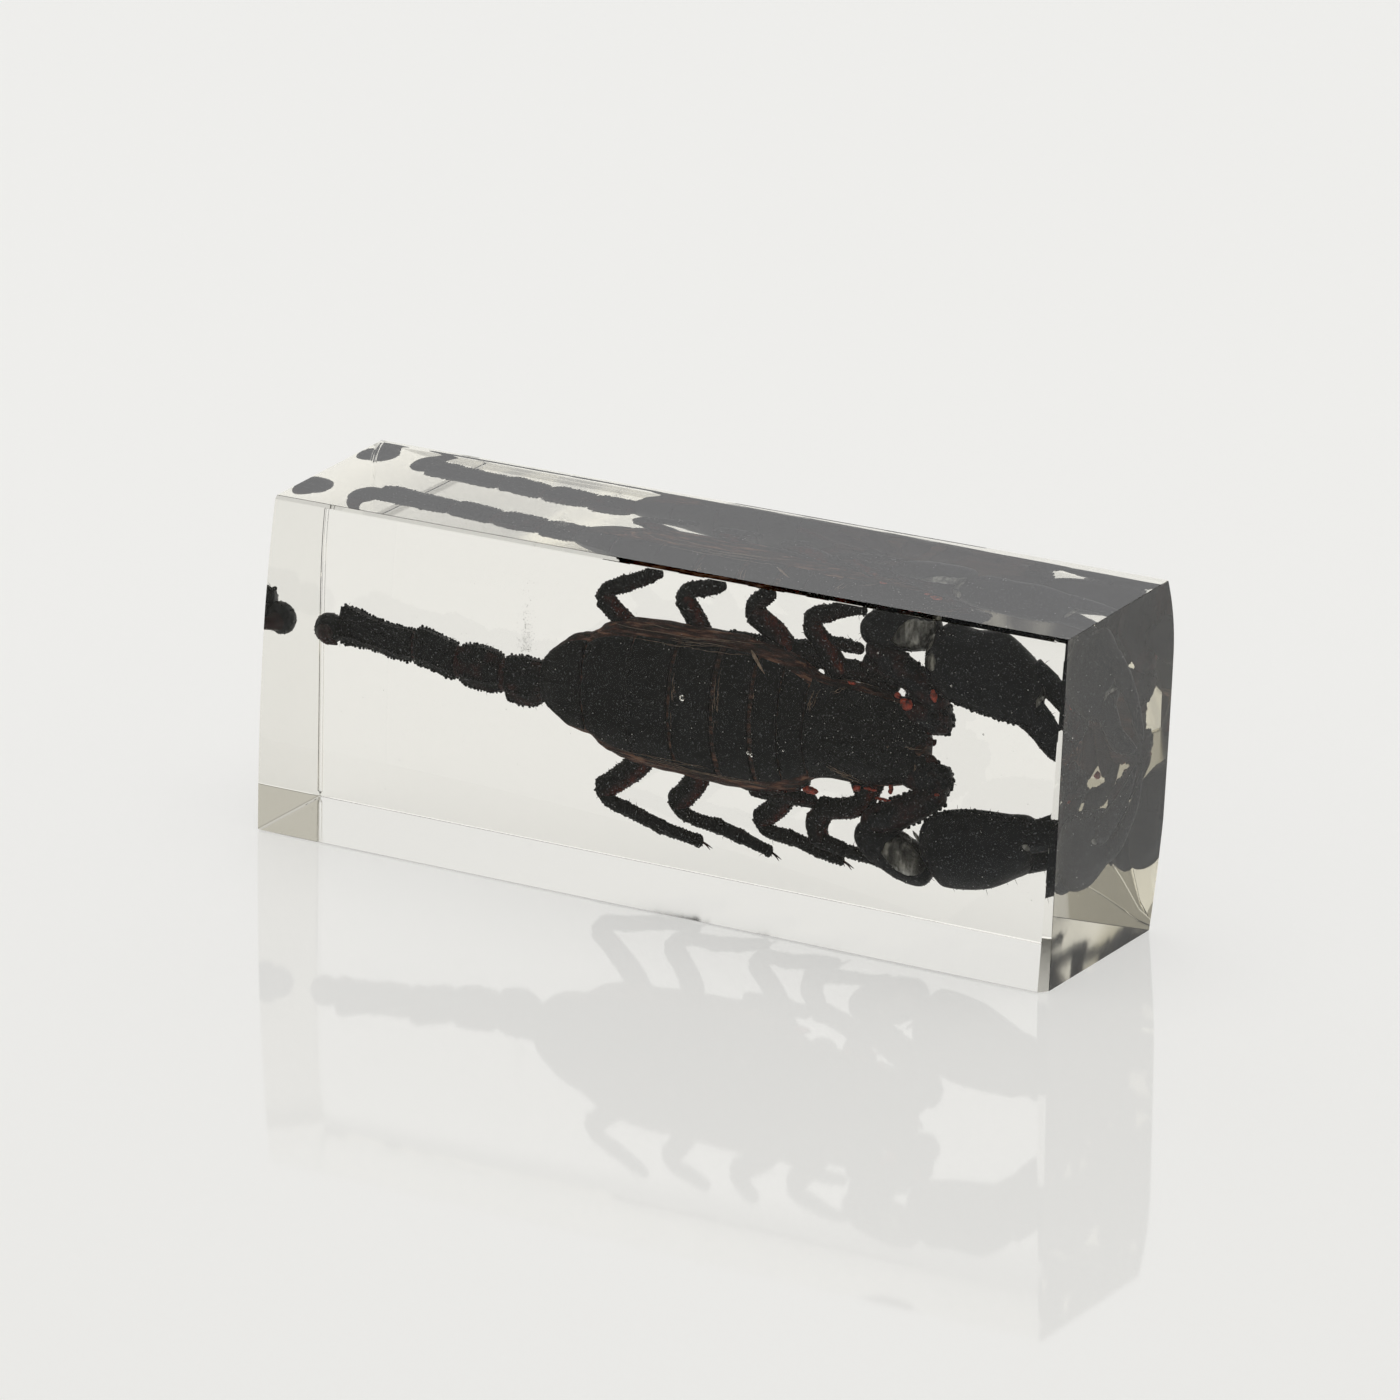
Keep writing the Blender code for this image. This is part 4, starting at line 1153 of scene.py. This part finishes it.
def front_finder(*pieces):
    """A way to find the depth of the first of the pieces that lies behind a place on the front face."""
    trees = [BVHTree.FromObject(piece, bpy.context.evaluated_depsgraph_get()) for piece in pieces]

    def depth(x, z):
        origin = spot(x, -1.0, z)
        found = [tree.ray_cast(origin, Vector((0, 1, 0)))[0] for tree in trees]
        depths = [point.y / MM + MIDDLE[1] for point in found if point is not None]
        return min(depths) if depths else 19.5

    return depth


def film(shape, outline, depth, seed, thickness=0.16):
    """A thin lens that lies on whatever is behind its outline."""
    outline = np.array(outline + outline[:1])
    closed = np.column_stack((outline[:, 0], np.zeros(len(outline)), outline[:, 1]))
    rim = smooth(closed, 73)[:-1][:, (0, 2)]
    centre = rim.mean(axis=0)
    rings = 16
    outer = np.zeros((rings, len(rim), 3))
    inner = np.zeros((rings, len(rim), 3))
    for ring in range(rings):
        share = (ring + 0.6) / (rings - 0.4)
        for index, corner in enumerate(rim):
            ragged = 1 + 0.05 * blotches(np.array((corner[0], 0.0, corner[1])), 0.5, seed)
            x, z = centre + (corner - centre) * share * ragged
            behind = depth(x, z)
            swell = thickness * math.sqrt(max(0.0, 1 - share**4))
            ripple = 0.05 * blotches(np.array((x, 0.0, z)), 0.8, seed + 1)
            outer[ring, index] = (x, behind - 0.05 - swell + ripple * (1 - share), z)
            inner[ring, index] = (x, behind + 0.25, z)
    whole = np.concatenate((outer, inner[::-1]))
    shape.grid(whole)


def make_air_films(arms):
    """Silvery films of air that the resin left against the arms."""
    shape = Shape()
    depth = front_finder(*arms)
    for index, outline in enumerate(AIR_FILMS):
        film(shape, outline, depth, 220 + index * 3)
    oval = tuple((33.0 + 0.85 * math.cos(turn), 35.0 + 1.15 * math.sin(turn))
                 for turn in np.linspace(0, 2 * math.pi, 12, endpoint=False))
    film(shape, oval, depth, 230)
    strip = ((46.85, 31.6), (47.15, 31.9), (47.25, 33.2), (47.0, 33.9), (46.85, 33.0), (46.75, 32.2))
    film(shape, strip, depth, 233, 0.10)
    blot = ((45.8, 14.4), (46.3, 14.5), (46.7, 14.0), (46.4, 13.6), (46.0, 13.9))
    film(shape, blot, depth, 236, 0.10)
    streak = ((30.1, 12.7), (30.6, 12.4), (32.3, 10.3), (32.2, 9.9), (31.4, 11.0), (30.3, 12.2))
    film(shape, streak, depth, 239, 0.10)
    return ride(shape.build("air_films", silver_film()), "scorpion_shell")


# where pale dried fibres run over the back: their two ends as (x, z), how many, how widely spread
THREAD_BUNDLES = (
    (((17.7, 29.0), (16.9, 25.4)), 6, 0.22), (((18.4, 19.7), (24.8, 18.0)), 9, 0.22),
    (((18.6, 30.2), (26.5, 30.0)), 3, 0.12), (((18.4, 27.8), (21.6, 29.6)), 2, 0.20),
    (((29.6, 23.6), (32.0, 23.7)), 3, 0.08), (((31.0, 21.9), (30.8, 20.3)), 2, 0.08),
    (((27.0, 22.6), (27.6, 23.7)), 3, 0.10), (((-14.5, 31.0), (12.0, 32.2)), 12, 0.60),
    (((-12.0, 16.0), (14.0, 15.4)), 8, 0.45), (((-1.6, 20.0), (-1.4, 30.6)), 6, 0.14),
    (((4.5, 19.4), (4.6, 30.6)), 7, 0.14), (((9.4, 22.0), (9.5, 29.4)), 2, 0.08),
)


def make_threads():
    """Pale threads: dried fibres over the back and the head shield, and one loose bristle."""
    shape = Shape()
    chance = random.Random(53)
    for (start, end), count, spread in THREAD_BUNDLES:
        for _ in range(count):
            shift = chance.gauss(0, spread)
            first, last = sorted((chance.uniform(0, 0.6), chance.uniform(0.4, 1.0)))
            rows = []
            for share in np.linspace(first, last, 7):
                x, z = np.array(start) + (np.array(end) - start) * share
                sag = shift + chance.gauss(0, 0.06) - 0.5 * spread * math.sin(math.pi * share)
                across = (0.0, 1.0) if abs(end[0] - start[0]) > abs(end[1] - start[1]) else (1.0, 0.0)
                x, depth, z = on_back(x + sag * across[0], z + sag * across[1], 0.20)
                along = (share - first) / (last - first)
                rows.append((x, depth, z, 0.032 * math.sin(math.pi * (0.12 + 0.8 * along)), 0.05))
            shape.grid(limb(rows, 30, 6, 0.05))
    bristle = ((8.9, 15.0, 32.4, 0.08, 0.06), (9.5, 14.7, 31.7, 0.24, 0.10), (10.5, 14.2, 30.6, 0.17, 0.10),
               (11.2, 13.9, 29.9, 0.04, 0.04))
    shape.grid(limb(bristle, 24, 8, 0.1))
    return ride(shape.build("pale_threads", pale_thread("pale_thread", (0.34, 0.24, 0.18))), "scorpion_shell")


def make_dust(surfaces):
    """Dust: a streak of specks that hangs over the tail, and single specks on and near the animal."""
    shape = Shape()
    chance = random.Random(51)
    places, radii = [], []
    for _ in range(240):
        z = 25.6 + abs(chance.gauss(0, 3.0))
        places.append(np.array((-24.1 + chance.gauss(0, 0.45), 20.5 + chance.gauss(0, 0.6), min(z, 34.5))))
        radii.append(chance.uniform(0.02, 0.06))
    for _ in range(90):
        places.append(np.array((chance.uniform(-50, 50), chance.uniform(3, 26), chance.uniform(3, 40))))
        radii.append(chance.uniform(0.02, 0.06))
    for surface in surfaces:
        vertices = surface.data.vertices
        for _ in range(170):
            point = vertices[chance.randrange(len(vertices))]
            centre = (np.array(point.co) + np.array(point.normal) * 0.00005) / MM + MIDDLE
            places.append(centre)
            radii.append(chance.uniform(0.03, 0.085))
    grains(shape, places, radii)
    return ride(shape.build("dust", pale_thread("dust", (0.85, 0.85, 0.85))), "scorpion_shell")


def make_bristles(surfaces, settings):
    """Short stiff hairs on the legs, the tail and the hands."""
    shape = Shape()
    chance = random.Random(52)
    for surface in surfaces:
        vertices = surface.data.vertices
        for _ in range(90):
            point = vertices[chance.randrange(len(vertices))]
            root = np.array(point.co) / MM + MIDDLE
            out = np.array(point.normal) + np.array([chance.uniform(-0.4, 0.4) for _ in range(3)])
            length = chance.uniform(0.35, 0.9)
            tip = root + unit(out) * length
            if not (0.6 < tip[1] < 26.0 and 1.0 < tip[2] < 43.2 and -54.0 < tip[0] < 53.9):
                continue
            rows = ((*(root - unit(out) * 0.1), 0.035, 0.035),
                    (*(root + unit(out) * length * 0.6), 0.022, 0.022),
                    (*(tip + np.array((0.08, 0, -0.05))), 0.008, 0.008))
            shape.grid(limb(rows, 5, 4, 0.02), 0.4)
    return finish_horn(shape, "bristles", "bristle_horn", settings, 0.1)


# ---- the stage

CAMERA_TURN = 28.822
CAMERA_RISE = 17.93
CAMERA_ROLL = 1.413
CAMERA_DISTANCE = 989.8
CAMERA_TARGET = (-0.87, 14.0, 22.852)
CAMERA_LENS = 209.49
BACKDROP_WAY = (-0.482, 0.876, 0.0)
SIDE_TONE = (0.62, 0.60, 0.53)
OVERHEAD_TONE = (0.9, 0.9, 0.9)
FLOOR_REACH = 3.0          # half the floor's length and width, in metres
FLOOR_GLOW = 0.46          # the floor is a sheet lit from below as well
# painted light: a brighter glowing sheet under the block, a pool standing in for the light that the block
# gathers on the floor
PAINTED_LIGHT_PATCH = (0.0542, 0.0133)       # half the length and width of the brighter sheet, in metres
PAINTED_LIGHT_GLOW = 0.80      # the light that the clear block gathers on the floor beneath it


def make_camera():
    """The camera at the photograph's angle."""
    turn, rise, roll = (math.radians(angle) for angle in (CAMERA_TURN, CAMERA_RISE, CAMERA_ROLL))
    back = Vector((math.sin(turn) * math.cos(rise), -math.cos(turn) * math.cos(rise), math.sin(rise)))
    right = Vector((math.cos(turn), math.sin(turn), 0))
    up = back.cross(right)
    level_right = math.cos(roll) * right + math.sin(roll) * up
    level_up = -math.sin(roll) * right + math.cos(roll) * up
    data = bpy.data.cameras.new("camera")
    data.lens = CAMERA_LENS
    data.sensor_width = 36.0
    data.clip_start = 0.05
    camera = bpy.data.objects.new("camera", data)
    turned = Matrix((level_right, level_up, back)).transposed().to_4x4()
    camera.matrix_world = Matrix.Translation(spot(*CAMERA_TARGET) + back * CAMERA_DISTANCE * MM) @ turned
    bpy.context.scene.collection.objects.link(camera)
    bpy.context.scene.camera = camera


def make_sheet(name, half_length, half_width, height, colour, glow):
    """A flat sheet of the stage that glows as well as taking the light from above; under the block its glow
    is a painted pool of light.
    """
    bm = bmesh.new()
    stretch = Matrix.Diagonal((half_length, half_width, 1.0, 1.0))
    bmesh.ops.create_grid(bm, x_segments=8, y_segments=8, size=1.0, matrix=stretch)
    mesh = bpy.data.meshes.new(name)
    bm.to_mesh(mesh)
    bm.free()
    faint = tuple(channel * 0.985 for channel in colour)
    stops = ((0.3, faint), (0.7, tuple(colour)))
    material, _, shader = cloudy_material("pale_" + name, 3.0, 2.0, stops, 0.04)
    shader.inputs["Specular IOR Level"].default_value = 0.25
    shader.inputs["Emission Color"].default_value = (1.0, 1.0, 0.985, 1.0)
    shader.inputs["Emission Strength"].default_value = glow
    mesh.materials.append(material)
    sheet = bpy.data.objects.new(name, mesh)
    sheet.location.z = height * MM
    bpy.context.scene.collection.objects.link(sheet)


def make_world(strength):
    """A bright backdrop behind the block, dimmer sides and a soft light overhead."""
    world = bpy.data.worlds.new("studio")
    bpy.context.scene.world = world
    world.use_nodes = True
    tree = world.node_tree
    where = tree.nodes.new("ShaderNodeTexCoord")
    split = tree.nodes.new("ShaderNodeSeparateXYZ")
    tree.links.new(where.outputs["Generated"], split.inputs["Vector"])
    backdrop_way = tree.nodes.new("ShaderNodeVectorMath")
    backdrop_way.operation = "DOT_PRODUCT"
    backdrop_way.inputs[1].default_value = BACKDROP_WAY
    tree.links.new(where.outputs["Generated"], backdrop_way.inputs[0])
    sides = ramp_node(tree, backdrop_way.outputs["Value"], ((0.50, SIDE_TONE), (0.85, (1.0,) * 3)))
    walls = ramp_node(tree, split.outputs["Z"], (
        (0.14, (0.55,) * 3), (0.78, (0.25,) * 3), (0.31, (1.0,) * 3), (0.50, (1.0,) * 3)))
    overhead = ramp_node(tree, split.outputs["Z"], ((0.80, (0.0,) * 3), (0.90, (1.0,) * 3)))
    around = mix_colours(tree, 1.0, walls.outputs["Color"], sides.outputs["Color"], "MULTIPLY")
    lamp = mix_colours(tree, 1.0, overhead.outputs["Color"], OVERHEAD_TONE, "MULTIPLY")
    background = tree.nodes["Background"]
    tree.links.new(mix_colours(tree, 1.0, around, lamp, "ADD"), background.inputs["Color"])
    background.inputs["Strength"].default_value = strength


def set_light_paths():
    """Enough bounces for light that runs round inside the block."""
    cycles = bpy.context.scene.cycles
    cycles.max_bounces = 32
    cycles.glossy_bounces = 24
    cycles.transmission_bounces = 24
    cycles.diffuse_bounces = 5
    cycles.sampling_pattern = "TABULATED_SOBOL"


def set_tone(black_point):
    """Plain tones with the picture's darkest tone brought down to black."""
    view = bpy.context.scene.view_settings
    view.view_transform = "Standard"
    view.use_curve_mapping = True
    view.curve_mapping.black_level = (black_point,) * 3


# ---- the add-on's settings, operators and panel

class SpecimenSettings(bpy.types.PropertyGroup):
    """Sizes and colours of the block and the animal."""

    edge_wear: FloatProperty(name="Edge wear", description="Width of the worn edges of the block",
                             default=0.00012, min=0.00002, max=0.001, unit="LENGTH")
    resin_tint: FloatVectorProperty(name="Resin tint",
                                    description="Colour that long paths through the resin take",
                                    default=(0.84, 0.79, 0.60), subtype="COLOR", min=0.0, max=1.0)
    resin_density: FloatProperty(name="Resin density",
                                 description="How soon the resin's tint shows, per metre",
                                 default=7.0, min=0.0, max=100.0)
    shell: FloatVectorProperty(name="Shell", description="Colour of the thick shell",
                               default=(0.0034, 0.0038, 0.0056), subtype="COLOR", min=0.0, max=1.0)
    thin_shell: FloatVectorProperty(name="Thin shell", description="Colour of the shell where it is thin",
                                    default=(0.075, 0.010, 0.007), subtype="COLOR", min=0.0, max=1.0)
    skin: FloatVectorProperty(name="Skin", description="Colour of the dried skin's pale strands",
                              default=(0.26, 0.13, 0.085), subtype="COLOR", min=0.0, max=1.0)


class StageSettings(bpy.types.PropertyGroup):
    """The floor and the light."""

    floor: FloatVectorProperty(name="Floor", description="Colour of the floor",
                               default=(0.60, 0.60, 0.60), subtype="COLOR", min=0.0, max=1.0)
    light: FloatProperty(name="Light", description="Strength of the even light",
                         default=0.85, min=0.0, max=10.0)
    black_point: FloatProperty(name="Black point", description="Tone that comes out black",
                               default=0.024, min=0.0, max=0.2)


def pieces(*names):
    """The pieces of these names."""
    return [bpy.data.objects[name] for name in names]


class SPECIMEN_OT_block(bpy.types.Operator):
    """Make the clear block with its worn edges and small bubbles"""

    bl_idname = "specimen.block"
    bl_label = "Clear block"
    bl_options = {"REGISTER", "UNDO"}

    def execute(self, context):
        make_block(context.scene.specimen)
        return {"FINISHED"}


class SPECIMEN_OT_body(bpy.types.Operator):
    """Make the soft body, the back plates, the head shield, the jaws and the belly"""

    bl_idname = "specimen.body"
    bl_label = "Body"
    bl_options = {"REGISTER", "UNDO"}

    def execute(self, context):
        specimen = context.scene.specimen
        make_skin(specimen)
        make_back_plates(specimen)
        make_head_shield(specimen)
        make_jaws(specimen)
        make_belly(specimen)
        return {"FINISHED"}


class SPECIMEN_OT_tail(bpy.types.Operator):
    """Make the tail and the sting"""

    bl_idname = "specimen.tail"
    bl_label = "Tail"
    bl_options = {"REGISTER", "UNDO"}

    def execute(self, context):
        make_tail(context.scene.specimen)
        make_sting(context.scene.specimen)
        return {"FINISHED"}


class SPECIMEN_OT_legs(bpy.types.Operator):
    """Make the eight legs"""

    bl_idname = "specimen.legs"
    bl_label = "Legs"
    bl_options = {"REGISTER", "UNDO"}

    def execute(self, context):
        make_legs(context.scene.specimen, "low", "low_legs")
        make_legs(context.scene.specimen, "high", "high_legs")
        return {"FINISHED"}


class SPECIMEN_OT_claws(bpy.types.Operator):
    """Make the two arms with their hands and fingers"""

    bl_idname = "specimen.claws"
    bl_label = "Claws"
    bl_options = {"REGISTER", "UNDO"}

    def execute(self, context):
        make_claw(context.scene.specimen, "low", "low_claw")
        make_claw(context.scene.specimen, "high", "high_claw")
        return {"FINISHED"}


class SPECIMEN_OT_small_marks(bpy.types.Operator):
    """Make the joint skins, air films, threads, bristles and dust"""

    bl_idname = "specimen.small_marks"
    bl_label = "Small marks"
    bl_options = {"REGISTER", "UNDO"}

    def execute(self, context):
        make_red_skins()
        make_air_films(pieces("low_claw", "high_claw"))
        make_threads()
        limbs = ("low_legs", "high_legs", "tail", "low_claw", "high_claw")
        make_bristles(pieces(*limbs), context.scene.specimen)
        make_dust(pieces(*limbs, "back_plates", "head_shield"))
        return {"FINISHED"}


class SPECIMEN_OT_stage(bpy.types.Operator):
    """Make the floor, the light and the camera"""

    bl_idname = "specimen.stage"
    bl_label = "Stage"
    bl_options = {"REGISTER", "UNDO"}

    def execute(self, context):
        stage = context.scene.specimen_stage
        make_sheet("floor", FLOOR_REACH, FLOOR_REACH, -0.06, stage.floor, FLOOR_GLOW)
        # the brighter sheet under the block is painted light, glowing in place of the light the block gathers
        # there
        make_sheet("floor_under_block", *PAINTED_LIGHT_PATCH, -0.04, stage.floor, PAINTED_LIGHT_GLOW)
        make_world(stage.light)
        make_camera()
        set_light_paths()
        set_tone(stage.black_point)
        return {"FINISHED"}


STEPS = (SPECIMEN_OT_block, SPECIMEN_OT_body, SPECIMEN_OT_tail, SPECIMEN_OT_legs, SPECIMEN_OT_claws,
         SPECIMEN_OT_small_marks, SPECIMEN_OT_stage)


class SPECIMEN_PT_panel(bpy.types.Panel):
    """The build steps and their settings."""

    bl_label = "Specimen"
    bl_idname = "SPECIMEN_PT_panel"
    bl_space_type = "VIEW_3D"
    bl_region_type = "UI"
    bl_category = "Specimen"

    def draw(self, context):
        for settings in (context.scene.specimen, context.scene.specimen_stage):
            for name in settings.__annotations__:
                self.layout.prop(settings, name)
        for step in STEPS:
            self.layout.operator(step.bl_idname)


CLASSES = (SpecimenSettings, StageSettings, *STEPS, SPECIMEN_PT_panel)


def register():
    for item in CLASSES:
        bpy.utils.register_class(item)
    bpy.types.Scene.specimen = PointerProperty(type=SpecimenSettings)
    bpy.types.Scene.specimen_stage = PointerProperty(type=StageSettings)


def unregister():
    del bpy.types.Scene.specimen_stage
    del bpy.types.Scene.specimen
    for item in reversed(CLASSES):
        bpy.utils.unregister_class(item)


def main():
    register()
    bpy.ops.specimen.block()
    bpy.ops.specimen.body()
    bpy.ops.specimen.tail()
    bpy.ops.specimen.legs()
    bpy.ops.specimen.claws()
    bpy.ops.specimen.small_marks()
    bpy.ops.specimen.stage()


if __name__ == "__main__":
    main()
